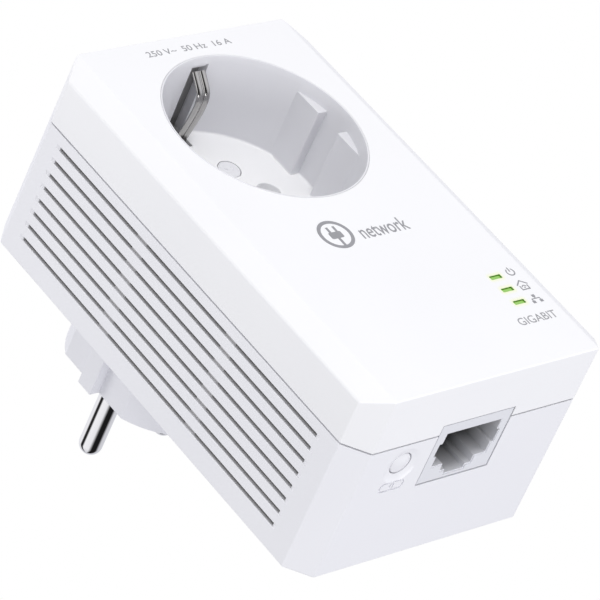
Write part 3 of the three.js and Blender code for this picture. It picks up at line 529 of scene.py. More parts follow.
def ventTools():
    grooves, slots = [], []
    for row in range(vents["rows"]):
        y = seamY + vents["first"] + row * vents["pitch"]
        half = vents["length"] / 2
        # a bar along the side wall, flared at the surface, with its ends ramped up to it
        flare, deep, edgeY = vents["flare"], vents["depth"], y + vents["width"] / 2
        right = [(halfWidth - deep, edgeY), (halfWidth - flare, edgeY),
                 (halfWidth + flare, edgeY + 2 * flare), (halfWidth + 1, edgeY + 2 * flare)]
        outline = right + [(x, 2 * y - other) for x, other in reversed(right)]
        bar = prism(outline, 2, vents["middle"] - half, vents["middle"] + half)
        for vert in bar.verts:
            share = min(1, max(0, (halfWidth - vert.co.x) / deep))
            vert.co.z += math.copysign(vents["ramp"] * share, vents["middle"] - vert.co.z)
        grooves += [bar, flipped(bar.copy(), 0)]
        for i in (-1, 0, 1):
            z = vents["middle"] + i * (vents["open"] + vents["bridge"])
            slot = block((halfWidth - case["wall"] - 1, y - vents["slotWidth"] / 2, z - vents["open"] / 2),
                         (halfWidth + 1, y + vents["slotWidth"] / 2, z + vents["open"] / 2))
            slots += [slot, flipped(slot.copy(), 0)]
    return together(grooves), together(slots)


def plugShape(grow, y0, y1):
    disc = drum(plug["radius"] + grow, y0, y1, steps=128)
    flat, rib, reach = plug["flat"] + grow, plug["rib"] / 2 + grow, plug["reach"] + grow
    slab = block((-flat, y0 - 1, -wide), (flat, y1 + 1, wide))
    ribs = block((-reach, y0, -rib), (reach, y1, rib))
    return combine(combine(disc, "INTERSECT", slab), "UNION", ribs)


def linkIcon():  # two chain links side by side, sunk beside the button
    sunk, stroke = linkMark["sunk"], linkMark["stroke"]
    z = bottomZ - leanAt(linkMark["y"])
    section = [(-1, -stroke / 2), (sunk, -stroke / 2), (sunk, stroke / 2), (-1, stroke / 2)]
    links = []
    for side in (-1, 1):
        midX = linkMark["x"] + side * linkMark["apart"] / 2
        straight, radius = linkMark["straight"] / 2, linkMark["radius"]
        right = arc((midX + straight, linkMark["y"]), radius, -90, 90, 12)
        left = arc((midX - straight, linkMark["y"]), radius, 90, 270, 12)
        loop = right + left + right[:1]
        links.append(sweep(section, [(x, y, z) for x, y in loop], (0, 0, 1)))
    return combine(links[0], "UNION", links[1])


def buildHousing():
    front = seamY + case["gap"]
    wall, gap = case["wall"], case["gap"]
    shell = between(roundEdges(caseHull(case["trim"]), case["edgeRound"]), front, rearY + 1)
    roundEdges(shell, case["rimRound"], 2, lambda a, b: max(a.y, b.y) < front + 1e-3)
    shell = combine(shell, "DIFFERENCE", between(caseHull(wall), front - 1, rearY))
    ledge = hullRing(wall - 0.5, wall + gap + case["tongueWall"], front, front + 1)
    tongue = hullRing(wall + gap, wall + gap + case["tongueWall"], seamY - case["tongue"], front + 0.5)
    shell = combine(shell, "UNION", ledge, tongue)
    pillars, heads, shanks, reliefs = [], [], [], []
    for name, x, z, low, high in screwPlaces():
        radius = high.x - x
        corner = block((min(x, math.copysign(wide, x)), front, min(z, math.copysign(wide, z - bottomZ - 40))),
                       (max(x, math.copysign(wide, x)), rearY - 1, max(z, math.copysign(wide, z - bottomZ - 40))))
        pillar = combine(drum(radius + gap + case["bossWall"], front, rearY - 1, x, z), "UNION", corner)
        pillars.append(combine(pillar, "INTERSECT", caseHull(0.4)))
        heads.append(drum(radius + gap, high.y - case["screwHead"] - gap, rearY + 1, x, z))
        shanks.append(drum(case["pilot"], front - 1, rearY, x, z, 32))
        reliefs.append(drum(3.35, seamY - 3, front, x, z))
    shell = combine(shell, "UNION", *pillars)
    grooves, slots = ventTools()
    labelLow, labelHigh = boxOf("rating_label")
    pocket = roundEdges(block((labelLow.x - gap, labelLow.y - 0.2, labelLow.z - gap),
                              (labelHigh.x + gap, rearY + 1, labelHigh.z + gap)), 1.2, 4,
                        lambda a, b: abs(a.y - b.y) > 0.5)
    endZ = bottomZ - leanAt(buttonY)
    reach, deep = button["dish"], button["dishDepth"]
    dish = upright(turned([(0, endZ + deep), (reach * 0.55, endZ + deep), (reach * 0.8, endZ + deep * 0.6),
                           (reach, endZ - 0.02), (reach + 1, endZ - 1), (0, endZ - 1)], 96), buttonX, buttonY)
    hole = upright(drum(buttonRadius + button["play"], endZ - 2, endZ + 4, steps=64), buttonX, buttonY)
    shell = combine(shell, "DIFFERENCE", together(heads), together(shanks), together(reliefs), grooves, slots,
                    pocket, jackHole(), dish, hole, plugShape(0.15, rearY - 4, rearY + 1), linkIcon())
    makePiece("housingShell", shell, materials["housingAbs"], nodes=["rear_housing"])


buildHousing()
print("housing made")

socket = {"bore": 20, "draft": 0.3, "wall": 2, "leadIn": 0.28, "flange": 23.4, "flangeThick": 1.2,
          "depth": 18.4, "floor": 2, "rimRound": 0.14, "floorRound": 0.5, "guideReach": 2.6, "guideGap": 6,
          "guideTop": 2.9, "guideRound": 0.4, "pinX": 9.5, "pinHole": 2.55, "capX": 5.4, "capZ": 7.75,
          "capRadius": 2.3, "capPlay": 0.15, "capThick": 0.9, "slotWidth": 4.2, "slotTop": 1.7, "slotRadius": 22.3, "clipPeak": 15.5}
flangeY = frontY + case["wall"] + case["gap"]
flangeBackY = flangeY + socket["flangeThick"]
floorY = frontY + socket["depth"]
floorBackY = floorY + socket["floor"]
carrierY = boxOf("contact_carrier")[0].y
# one moulding: the floor's paler tone is painted in, because the studio light alone leaves it too dim
materials["socketAbs"] = shadeWithDepth("socketAbs", "Y", floorPaintedLight["start"] - floorY,
                                        floorPaintedLight["full"] - floorY, floorPaintedLight["colour"])


def turnedRound(bm):
    return flipped(flipped(bm, 0), 2)


def buildSocket():
    bore, gap, skin = socket["bore"], case["gap"], case["skin"]
    low = bore - socket["draft"]
    lip, foot = socket["rimRound"], socket["floorRound"]
    wider = bore + socket["leadIn"]
    rimArc = arc((wider + lip, frontY + skin + lip), lip, 270, 180, 4) + [(bore, frontY + 1.6)]
    floorArc = arc((low - foot, floorY - foot), foot, 0, 90, 6)
    outerArc = arc((rimRadius - 0.1, frontY + skin + 0.1), 0.1, 0, -90, 4)
    profile = [(0, floorBackY), (bore + socket["wall"], floorBackY), (bore + socket["wall"], flangeBackY),
               (socket["flange"], flangeBackY), (socket["flange"], flangeY), (rimRadius, flangeY)]
    profile += outerArc + rimArc + floorArc + [(0, floorY)]
    cup = turned(profile, 160)
    guides, slots = [], []
    hold = bore + socket["wall"] / 2
    face, half = bore - socket["guideReach"], socket["guideGap"] / 2
    for side in (1, -1):
        for end in (1, -1):
            near = (min(side * face, side * hold), frontY + socket["guideTop"], min(end * half, end * hold))
            far = (max(side * face, side * hold), floorY + 1, max(end * half, end * hold))
            guide = roundEdges(block(near, far), socket["guideRound"], 4,
                               lambda a, b: abs(a.z) < half + 0.1 and abs(b.z) < half + 0.1
                               and abs(a.x) < face + 0.1 and abs(b.x) < face + 0.1)
            roundEdges(guide, 0.15, 2, lambda a, b: a.y < frontY + 3.4 and b.y < frontY + 3.4, 40)
            guides.append(guide)
    guides = combine(together(guides), "INTERSECT", drum(hold, frontY, floorBackY, steps=160))
    sleeveX, slotX, inner = socket["slotWidth"] / 2 + 1, socket["slotWidth"] / 2, low - 1
    sleeves = together([block((-sleeveX, flangeY, 18), (sleeveX, floorBackY, 23.1)),
                        block((-sleeveX, flangeY, -23.1), (sleeveX, floorBackY, -18))])
    sleeves = combine(sleeves, "DIFFERENCE", drum(bore - 0.05, flangeY - 1, floorY, steps=160))
    for end in (1, -1):
        for y0, y1, z0, z1 in ((frontY + socket["slotTop"], floorY + 0.01, inner, bore + 0.45),
                               (flangeY + gap, floorBackY + 1, inner, socket["slotRadius"]),
                               (floorY - 1, floorBackY + 1, socket["clipPeak"], socket["slotRadius"])):
            zs = sorted((end * z0, end * z1))
            slots.append(block((-slotX, y0, zs[0]), (slotX, y1, zs[1])))
    seatY = floorY + 2 * socket["capThick"] + 3 * gap
    capBore = socket["capRadius"] + socket["capPlay"]
    bosses = [drum(capBore + 1.1, floorY + 1, carrierY - gap, socket["capX"], socket["capZ"])]
    wells = [drum(capBore, floorY - 1, seatY, socket["capX"], socket["capZ"], 64)]
    shanks = [drum(case["pilot"], floorY, carrierY + 1, socket["capX"], socket["capZ"])]
    for made in (bosses, wells, shanks):
        made.append(turnedRound(made[0].copy()))
    pinProfile = [(0, floorY - 1), (socket["pinHole"] + 1, floorY - 1), (socket["pinHole"] + 0.1, floorY - 0.01),
                  (socket["pinHole"], floorY + 0.1), (socket["pinHole"], floorBackY + 1), (0, floorBackY + 1)]
    pins = [turned(pinProfile, 64, side * socket["pinX"]) for side in (-1, 1)]
    cup = combine(cup, "UNION", guides, sleeves, together(bosses))
    cup = combine(cup, "DIFFERENCE", *slots, together(wells), together(shanks), together(pins))
    makePiece("socketCup", cup, materials["socketAbs"], nodes=["socket_cup"], smooth=30)


def buildCap(name, node, end):  # a press-in cap with a moulded arrow and three dots
    radius, y, r = socket["capRadius"], floorY + 0.02, 0.12
    cap = turned([(0, y)] + arc((radius - r, y + r), r, 270, 360, 4) + [(radius, y + 0.88), (0, y + 0.88)], 72)
    marks = [sweep([(-1, -0.1), (0.09, -0.1), (0.09, 0.1), (-1, 0.1)],
                   [(-1.05, y, 0.5), (-0.35, y, 0), (-1.05, y, -0.5)], (0, 1, 0))]
    marks += [drum(0.13, y - 1, y + 0.09, 0.55, z, 12) for z in (-0.45, 0.45)]
    marks.append(drum(0.13, y - 1, y + 0.09, 1.1, 0, 12))
    cap = combine(cap, "DIFFERENCE", together(marks))
    bmesh.ops.translate(cap, vec=(end * socket["capX"], 0, end * socket["capZ"]), verts=cap.verts)
    makePiece(name, cap, materials["capAbs"], nodes=[node], smooth=30)


buildSocket()
buildCap("screwCapUpper", "screw_cap_upper", 1)
buildCap("screwCapLower", "screw_cap_lower", -1)
print("socket made")

clip = {"tipY": 2.8, "tip": 19.6, "peakY": 7.4, "peak": 15.2, "root": 17.6, "thick": 0.6, "steps": 48,
        "halfWidth": 1.65, "groove": 0.3, "grooveHalf": 0.16, "easing": 70}
clipEndY = boxOf("earth_clip_top")[1].y


def clipPath():
    knots = [(frontY + clip["tipY"], clip["tip"]),
             (frontY + (clip["tipY"] + clip["peakY"]) / 2, (clip["tip"] + clip["peak"]) / 2 - clip["thick"]),
             (frontY + clip["peakY"], clip["peak"]), (floorY, clip["root"] - clip["thick"]),
             (carrierY, clip["root"])]
    knots = [Vector((0, y, z)) for y, z in knots]
    path = []
    for i in range(clip["steps"] + 1):
        at = i / clip["steps"] * (len(knots) - 1)
        n = min(int(at), len(knots) - 2)
        t = at - n
        k0, k1, k2, k3 = (knots[min(max(j, 0), len(knots) - 1)] for j in (n - 1, n, n + 1, n + 2))
        path.append((k1 * 2 + (k2 - k0) * t + (k0 * 2 - k1 * 5 + k2 * 4 - k3) * t * t
                     + (k1 * 3 - k0 - k2 * 3 + k3) * t * t * t) / 2)
    for _ in range(clip["easing"]):  # the strip is bent round a former, so the path has no sharp turn
        path[1:-1] = [(a + b * 2 + c) / 4 for a, b, c in zip(path, path[1:], path[2:])]
    return path + [Vector((0, clipEndY, clip["root"]))]


def buildClips():
    half, deep, inner, thick = clip["halfWidth"], clip["groove"], clip["grooveHalf"], clip["thick"]
    ridge = (half - inner) / 2  # each side of the groove is a low rounded ridge
    right = [(inner + ridge - ridge * math.cos(math.radians(t)), deep - deep * math.sin(math.radians(t)))
             for t in range(0, 181, 15)]
    right += [(half, thick - 0.12), (half - 0.12, thick)]
    section = right + [(-x, v) for x, v in reversed(right)]
    for end, name, node, body in ((1, "earthClipTop", "earth_clip_top", "clip_top"),
                                  (-1, "earthClipBottom", "earth_clip_bottom", "clip_bottom")):
        strip = sweep([(x, -v) for x, v in section], clipPath(), (1, 0, 0))
        if end < 0:
            strip = flipped(strip, 2)
        makePiece(name, strip, materials["clipNickel"], body, [node], smooth=50)


buildClips()
print("earth clips made")

pin = {"radius": 2.4, "length": 19.2, "x": 9.5, "headRadius": 3.4, "headThick": 1.4, "tail": 5, "tailRadius": 1.9}
plugFlangeY = boxOf("plug_base")[0].y


def buildPlug():
    cavity = plug["notchFloor"] - plug["wall"]
    headY = -plug["wall"] - pin["headThick"]
    headBore = pin["headRadius"] + case["gap"]
    body = plugShape(-0.02, plugFlangeY, -0.02)
    roundEdges(body, plug["edgeRound"], 3, lambda a, b: a.y > -0.1 and b.y > -0.1)
    roundEdges(body, 0.18, 2, lambda a, b: abs(a.y - b.y) > 5)
    flange = drum(plug["radius"] + plug["flange"], plugFlangeY, plugFlangeY + plug["flangeThick"], steps=128)
    body = combine(combine(body, "UNION", flange), "DIFFERENCE",
                   drum(cavity, plugFlangeY - 1, -plug["wall"], steps=96))
    xs = (-pin["x"], pin["x"])
    bosses = together([drum(headBore + 1.5, headY, 1 - plug["wall"], x) for x in xs])
    body = combine(body, "UNION", bosses)
    bores = together([drum(headBore, headY - 1, -plug["wall"], x) for x in xs])
    bore, mouth = pin["radius"] + 0.05, 3.1
    profile = [(0, headY - 1), (bore, headY - 1), (bore, -0.6), (mouth, -0.35), (mouth, 1), (0, 1)]
    holes = together([turned(profile, 64, x) for x in xs])
    half = plug["notchWide"] / 2
    notch = block((-half, -plug["notchLength"], plug["notchFloor"]), (half, 1, plug["radius"] + 1))
    roundEdges(notch, 0.3, 3, lambda a, b: abs(a.x - b.x) < 1e-3 and abs(a.z - b.z) < 1e-3)
    body = combine(body, "DIFFERENCE", bores, holes, notch, flipped(notch.copy(), 2))
    makePiece("plugBody", body, materials["plugAbs"], nodes=["plug_base"], smooth=30)


def buildPins():
    headY = -plug["wall"] - case["gap"]
    endY = headY - pin["headThick"] - pin["tail"]
    dome = arc((0, pin["length"] - 0.02 - pin["radius"]), pin["radius"], 0, 90, 16)
    profile = [(0, endY), (pin["tailRadius"] - 0.2, endY), (pin["tailRadius"], endY + 0.2),
               (pin["tailRadius"], headY - pin["headThick"]), (pin["headRadius"], headY - pin["headThick"]),
               (pin["headRadius"], headY), (pin["radius"], headY)] + dome
    for side, name in ((-1, "Left"), (1, "Right")):
        makePiece("plugPin" + name, turned(profile, 96, side * pin["x"]), materials["polishedNickel"],
                  nodes=["plug_pin_" + name.lower()], smooth=40)


def buildEarthStrips():
    low, high = boxOf("plug_earth_top")
    section = [(-2.5, 0), (2.5, 0), (2.6, 0.1), (2.6, 0.55), (2.3, 0.78), (-2.3, 0.78), (-2.6, 0.55), (-2.6, 0.1)]
    section = [(u, -v) for u, v in section]
    path = [(0, y, low.z) for y in (low.y, high.y - 0.6, high.y)]
    for end, name in ((1, "Top"), (-1, "Bottom")):
        strip = sweep(section, path, (1, 0, 0))
        if end < 0:
            strip = flipped(strip, 2)
        makePiece("plugEarth" + name, strip, materials["clipNickel"],
                  nodes=["plug_earth_" + name.lower()], smooth=40)


buildPlug()
buildPins()
buildEarthStrips()
print("plug made")

jack = {"lip": 2.3, "opening": 12.8, "edgeRound": 0.16, "contacts": 8, "pitch": 1.02, "wire": 0.42, "leadIn": 0.22,
        "steps": [(6.95, 0), (6.95, 2.5), (7.6, 2.5), (7.6, 5.7), (6.9, 5.7), (6.9, 8.15), (3.95, 8.15),
                  (3.95, 9.9), (2.55, 9.9), (2.55, 10.95)]}
combLow, combHigh = boxOf("jack_contact_comb")
lipY = jackLow.y + jack["lip"]


def buildJack():
    body = block((jackLow.x, jackLow.y, bottomZ - 3), (jackHigh.x, jackHigh.y, jackHigh.z))
    body = roundEdges(combine(body, "INTERSECT", caseHull(case["skin"])), jack["edgeRound"], 2,
                      lambda a, b: max(a.z, b.z) < bottomZ + 1)
    points = [(x, lipY + y) for x, y in jack["steps"]]
    outline = points + [(-x, y) for x, y in reversed(points)]
    opening = prism(outline, 2, bottomZ - 4, bottomZ + jack["opening"])
    roundEdges(opening, 0.14, 2, lambda a, b: abs(a.z - b.z) > 5)
    # a lead-in round the mouth of the opening
    more = jack["leadIn"]
    mouth = prism([(x + math.copysign(more, x), y + (more if y > lipY + 5 else -more)) for x, y in outline], 2,
                  bottomZ - 4, bottomZ + 0.28 - leanAt(jackHigh.y))
    body = combine(body, "DIFFERENCE", opening, mouth)
    makePiece("jackBody", body, materials["jackPbt"], nodes=["network_jack"], smooth=30)


def buildComb():
    width = jack["contacts"] * jack["pitch"]
    bar = block((-width / 2, lipY + 0.3, combHigh.z - 1.3), (width / 2, combHigh.y, combHigh.z))
    roundEdges(bar, 0.15, 2)
    half = jack["wire"] / 2
    section = [(-half, -half * 0.6), (-half * 0.6, -half), (half * 0.6, -half), (half, -half * 0.6),
               (half, half * 0.6), (half * 0.6, half), (-half * 0.6, half), (-half, half * 0.6)]
    nearY, farY, tipZ, rootZ = lipY + 0.55 + half, combHigh.y - half - 0.02, combLow.z + half, combHigh.z - 1
    parts = [bar]
    for i in range(jack["contacts"]):
        x = (i - (jack["contacts"] - 1) / 2) * jack["pitch"]
        path = [(x, nearY + 0.9, tipZ + 0.05), (x, nearY + 0.35, tipZ), (x, nearY + 0.06, tipZ + 0.3)]
        path += [(x, nearY + (farY - nearY) * t ** 1.5, tipZ + 0.7 + (rootZ - tipZ - 0.7) * t)
                 for t in (0, 0.15, 0.35, 0.6, 0.85, 1)]
        parts.append(sweep(section, path, (1, 0, 0)))
    comb = combine(parts[0], "UNION", *parts[1:])
    makePiece("jackComb", comb, materials["goldFlash"], nodes=["jack_contact_comb"], smooth=40)


buildJack()
buildComb()
print("jack made")


def buildButton():
    z0, top = buttonLow.z, buttonHigh.z
    flangeZ = z0 + 2.3
    r, dome = 0.3, button["dome"]
    reach = buttonRadius - r
    face = [(reach * i / 8, z0 + dome * (i / 8) ** 2) for i in range(9)]
    face += arc((reach, z0 + dome + r), r, -65, 0, 5)
    flange, flangeTop, stem = buttonRadius + button["flange"], flangeZ + button["flange"], button["stem"]
    profile = face + [(buttonRadius, flangeZ), (flange, flangeZ), (flange, flangeTop), (stem, flangeTop),
                      (stem, top), (0, top)]
    cap = upright(turned(profile, 96), buttonX, buttonY)
    makePiece("pairButton", cap, materials["buttonAbs"], "button", ["pair_button"], smooth=40)


def buildScrews():
    for name, x, z, low, high in screwPlaces():
        seat, head, shank = high.y - case["screwHead"], high.x - x, 1.25
        profile = [(0, low.y), (0.3, low.y), (shank - 0.35, low.y + 1.4)]
        y = low.y + 1.6
        while y < seat - 1.3:  # a coarse thread
            profile += [(shank - 0.3, y), (shank, y + 0.3), (shank - 0.3, y + 0.6)]
            y += 0.75
        profile += [(shank - 0.2, seat), (head - 0.15, seat), (head, seat + 0.2), (head, seat + 1),
                    (head - 0.6, seat + 1.55), (head - 1.5, high.y - 0.03), (0, high.y - 0.03)]
        screw = turned(profile, 48, x, z)
        bars = [block((x - across, high.y - 1.1, z - up), (x + across, high.y + 1, z + up))
                for across, up in ((1.5, 0.28), (0.28, 1.5))]
        screw = combine(screw, "DIFFERENCE", combine(bars[0], "UNION", bars[1]))
        side = "".join(word.capitalize() for word in name.split("_"))
        makePiece("caseScrew" + side, screw, materials["zincSteel"],
                  nodes=["case_screw_" + name], smooth=40)


def buildLightGuide():
    halfX, halfZ = cover["windowWide"] / 2 - 0.04, cover["windowHigh"] / 2 - 0.04
    shelf = frontY + case["wall"] + case["gap"]
    parts = []
    for i in range(windowCount):
        z = windowMid + (i - 1) * windowPitch
        tip = block((windowX - halfX, frontY + 0.3, z - halfZ), (windowX + halfX, shelf + 0.5, z + halfZ))
        parts.append(roundEdges(tip, 0.16, 2))
        parts.append(block((windowX - halfX, shelf, z - 1.1), (windowX + halfX, guideHigh.y, z + 1.1)))
    parts.append(block((windowX - 1.1, shelf + 2.2, windowMid - windowPitch),
                       (windowX + 1.1, shelf + 4.4, windowMid + windowPitch)))
    guide = combine(parts[0], "UNION", *parts[1:])
    makePiece("lightGuide", guide, materials["litPolycarbonate"], nodes=["light_guide"])


def buildLabel():
    low, high = boxOf("rating_label")
    label = roundEdges(block(low, (high.x, high.y - 0.02, high.z)), 1, 4, lambda a, b: abs(a.y - b.y) > 0.1)
    makePiece("ratingLabel", label, materials["labelFilm"], nodes=["rating_label"])
    ink = []
    y0, y1 = high.y - 0.03, high.y - 0.001
    for i, share in enumerate((0.92, 0.7, 0.85, 0.55, 0.78, 0.62)):  # plain rules stand in for print
        z = high.z - 4 - i * 2.6
        ink.append(block((high.x - 3 - 24 * share, y0, z - 0.45), (high.x - 3, y1, z + 0.45)))
    for i in range(3):
        x, z = low.x + 6.2, high.z - 5.5 - i * 6.6
        ring = [(x + px, y0, z + pz) for px, pz in arc((0, 0), 2, 0, 360, 32)]
        ink.append(sweep([(0, -0.2), (y1 - y0, -0.2), (y1 - y0, 0.2), (0, 0.2)], ring, (0, 1, 0)))
    makePiece("labelPrint", together(ink), materials["darkInk"])


buildButton()
buildScrews()
buildLightGuide()
buildLabel()
print("button, screws, light guide and label made")

ink = {"front": 0.004, "back": 0.06, "stroke": 0.27, "signX": 22.5}
# each line of print: left, right, foot, height and added weight
lettering = {"rating": ("250 V~  50 Hz  16 A", -11.5, 9.5, 22.6, 1.55, 0.004),
             "word": ("network", -1.6, 10.2, -32.7, 3.5, 0.005), "speed": ("GIGABIT", 14, 23.8, -61.2, 1.9, 0)}


def inkStroke(path, width):
    deep = ink["back"] - ink["front"]
    section = [(0, -width / 2), (deep, -width / 2), (deep, width / 2), (0, width / 2)]
    return sweep(section, [(x, frontY + ink["front"], z) for x, z in path], (0, 1, 0))


def inkBlock(x, z, width, height):
    return block((x - width / 2, frontY + ink["front"], z - height / 2),
                 (x + width / 2, frontY + ink["back"], z + height / 2))


def inkText(text, left, right, foot, height, weight):
    curve = bpy.data.curves.new("text", "FONT")
    curve.body, curve.extrude, curve.offset, curve.resolution_u = text, 0.5, weight, 3
    shape = bpy.data.objects.new("text", curve)
    bpy.context.scene.collection.objects.link(shape)
    bpy.context.view_layer.update()
    mesh = bpy.data.meshes.new_from_object(shape.evaluated_get(bpy.context.evaluated_depsgraph_get()))
    bm = bmesh.new()
    bm.from_mesh(mesh)
    bpy.data.curves.remove(curve)
    bpy.data.meshes.remove(mesh)
    bmesh.ops.remove_doubles(bm, verts=bm.verts, dist=1e-5)
    bmesh.ops.rotate(bm, cent=(0, 0, 0), matrix=Matrix.Rotation(math.pi / 2, 3, "X"), verts=bm.verts)
    low = Vector([min(v.co[i] for v in bm.verts) for i in range(3)])
    high = Vector([max(v.co[i] for v in bm.verts) for i in range(3)])
    bmesh.ops.translate(bm, vec=-low, verts=bm.verts)
    size = high - low
    fitted = ((right - left) / size.x, (ink["back"] - ink["front"]) / size.y, height / size.z)
    bmesh.ops.scale(bm, vec=fitted, verts=bm.verts)
    bmesh.ops.translate(bm, vec=(left, frontY + ink["front"], foot), verts=bm.verts)
    return bm


def makeMark(name, bm, finish="paleInk"):
    makePiece(name, bm, materials[finish], smooth=30)


def buildMarks():
    makeMark("ratingMark", inkText(*lettering["rating"]))
    cx, cz = -6.9, -30.1
    plugSign = [inkStroke(arc((cx, cz), 3.35, 0, 360, 64), 0.75),
                roundEdges(inkBlock(cx, cz - 0.15, 3, 1.7), 0.35, 3,
                           lambda a, b: abs(a.x - b.x) < 1e-3 and abs(a.z - b.z) < 1e-3),
                inkBlock(cx - 0.8, cz + 1.35, 0.55, 1.5), inkBlock(cx + 0.8, cz + 1.35, 0.55, 1.5),
                inkBlock(cx, cz - 2, 0.6, 2.4)]
    plugSign = combine(plugSign[0], "UNION", *plugSign[1:])
    makeMark("wordMark", together([plugSign, inkText(*lettering["word"])]), "printInk")
    makeMark("speedMark", inkText(*lettering["speed"]))
    s, fine, x = ink["stroke"], ink["stroke"] * 0.8, ink["signX"]
    z = -48.3
    powerSign = [inkStroke(arc((x, z), 0.88, 125, 415, 32), s), inkStroke([(x, z + 0.1), (x, z + 1.2)], s)]
    z = -52.05
    house = [inkStroke([(x - 1.35, z + 0.15), (x, z + 1.25), (x + 1.35, z + 0.15)], s),
             inkStroke([(x - 0.92, z - 0.05), (x - 0.92, z - 1.1), (x + 0.92, z - 1.1), (x + 0.92, z - 0.05)], s),
             inkStroke(arc((x, z - 0.62), 0.55, 25, 155, 10), fine),
             drum(0.17, frontY + ink["front"], frontY + ink["back"], x, z - 0.6, 16)]
    z = -55.8
    tree = [inkBlock(x, z + 0.75, 0.75, 0.65), inkBlock(x - 0.95, z - 0.75, 0.75, 0.65),
            inkBlock(x + 0.95, z - 0.75, 0.75, 0.65)]
    links = [inkStroke([(x, z + 0.5), (x, z + 0.05)], fine),
             inkStroke([(x - 0.95, z - 0.5), (x - 0.95, z + 0.02), (x + 0.95, z + 0.02), (x + 0.95, z - 0.5)],
                       fine)]
    tree = combine(tree[0], "UNION", *tree[1:], *links)
    makeMark("indicatorSigns", together([*powerSign, *house, tree]), "printInk")


buildMarks()
print("marks made")

# the other CAD pieces keep their shape and get a finish
nodeFinish = {
    "clipNickel": ["earth_bridge"], "zincSteel": ["socket_screw_upper", "socket_screw_lower", "crystal"],
    "stampedBrass": ["socket_contact_left", "socket_contact_right", "power_link_left", "power_link_right"],
    "springWire": ["shutter_spring"], "extrudedAluminium": ["heatsink"], "shutterPom": ["shutter"],
    "carrierUrea": ["contact_carrier"], "ledEpoxy": ["led_power", "led_house", "led_network"],
    "solderMask": ["main_board"], "fuseCeramic": ["fuse"], "dippedEpoxy": ["varistor"],
    "chipEpoxy": ["processor", "memory", "network_magnetics", "bridge_rectifier", "optocoupler", "push_switch",
                  "switch_plunger"],
    "ferrite": ["coupling_transformer", "noise_choke"], "windingTape": ["switching_transformer"],
    "canSleeve": ["bulk_capacitor_1", "bulk_capacitor_2"], "filmBox": ["suppression_capacitor"],
}
for finish, nodes in nodeFinish.items():
    for node in nodes:
        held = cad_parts[node].data.materials
        held.clear()
        held.append(materials[finish])

studio = {"floorDrop": 0.75, "floorSize": 30, "floorColour": "#F4F4F5", "front": 0.85, "away": 0.43,
          "frontTint": "#FFFFFF", "awayTint": "#F1F2FB", "keyWay": (-0.5, -0.84, 0.15)}
# two dark cards, long ones side by side with the pins: where and how wide, in degrees
cards = {"below": (-90, 42), "aside": (142, 21)}
card = {"dark": 0.02, "clear": 1.4, "core": 0.45, "rim": 1.25}


def buildFloor():
    bm = bmesh.new()
    bmesh.ops.create_grid(bm, x_segments=1, y_segments=1, size=studio["floorSize"])
    bmesh.ops.translate(bm, vec=(0, 0, -studio["floorDrop"]), verts=bm.verts)
    mesh = bpy.data.meshes.new("floor")
    bm.to_mesh(mesh)
    bm.free()
    matte = startMaterial("matteCard", {"Base Color": linear(studio["floorColour"]), "Roughness": 0.9})[0]
    mesh.materials.append(matte)
    floor = bpy.data.objects.new("floor", mesh)
    bpy.context.scene.collection.objects.link(floor)
    floor.visible_diffuse = floor.visible_glossy = False  # so the room lights the underside as if it weren't there


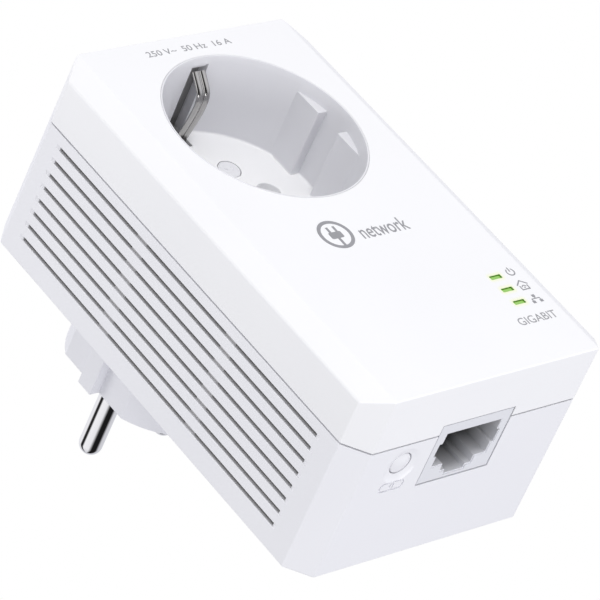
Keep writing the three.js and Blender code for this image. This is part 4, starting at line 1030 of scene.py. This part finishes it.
def buildWorld():
    # A white room, brighter in front. Only reflections see the cards, and a brighter room beside them (the clear
    # level counts once for each card). The camera sees plain white.
    world = bpy.data.worlds.new("studio")
    world.use_nodes = True
    tree = world.node_tree
    sky = tree.nodes["Background"]
    way = tree.nodes.new("ShaderNodeTexCoord").outputs["Generated"]
    facing = addNode(tree, "ShaderNodeVectorMath", {
        "operation": "DOT_PRODUCT", 1: Vector(studio["keyWay"]).normalized()}, {0: way}).outputs["Value"]
    share = fit(tree, facing, -1, 1)
    level = fit(tree, share, 0, 1, studio["away"], studio["front"])
    x, y, z = axesOf(tree, way)
    turn = reckon(tree, "ARCTAN2", z, x)
    paths = tree.nodes.new("ShaderNodeLightPath").outputs
    for middle, half in cards.values():
        off = distanceFrom(tree, turn, math.radians(middle))
        seen = fit(tree, off, math.radians(half * card["core"]), math.radians(half * card["rim"]),
                   card["dark"], card["clear"], "SMOOTHSTEP")
        shade = addNode(tree, "ShaderNodeMix", {2: 1}, {0: paths["Is Glossy Ray"], 3: seen}).outputs[0]
        level = reckon(tree, "MULTIPLY", level, shade)
    strength = addNode(tree, "ShaderNodeMix", {3: 1}, {0: paths["Is Camera Ray"], 2: level}).outputs[0]
    tint = blend(tree, share, studio["awayTint"], studio["frontTint"])
    tree.links.new(blend(tree, paths["Is Camera Ray"], tint, "#FFFFFF"), sky.inputs["Color"])
    tree.links.new(strength, sky.inputs["Strength"])
    bpy.context.scene.world = world


lights = {"front": {"place": (-0.15, -1.3, -0.1), "size": 0.35, "power": 4.5},
          "below": {"place": (-0.05, -0.12, -0.7), "size": 0.3, "power": 1.8},
          "side": {"place": (-0.9, 0.35, 0.75), "size": 0.6, "power": 4}}


def buildLights():
    for name, light in lights.items():
        data = bpy.data.lights.new(name, "AREA")
        data.energy, data.size = light["power"], light["size"]
        source = bpy.data.objects.new(name, data)
        source.location = light["place"]
        source.visible_camera = False
        source.rotation_euler = (-Vector(light["place"])).to_track_quat("-Z", "Y").to_euler()
        bpy.context.scene.collection.objects.link(source)
    bpy.context.scene.view_settings.view_transform = "Standard"


view = {"place": (-488.05, -460.59, -374.35), "aim": (0.22, -39.55, -23.96), "up": (0.17391, -0.74122, 0.64834),
        "lens": 236.38}


def buildCamera():
    data = bpy.data.cameras.new("camera")
    data.lens, data.sensor_width = view["lens"], 36
    camera = bpy.data.objects.new("camera", data)
    back = (Vector(view["place"]) - Vector(view["aim"])).normalized()
    right = Vector(view["up"]).cross(back).normalized()
    turn = Matrix((right, back.cross(right), back)).transposed()
    camera.matrix_world = Matrix.Translation(Vector(view["place"]) * metres) @ turn.to_4x4()
    bpy.context.scene.collection.objects.link(camera)
    bpy.context.scene.camera = camera


buildFloor()
buildWorld()
buildLights()
buildCamera()
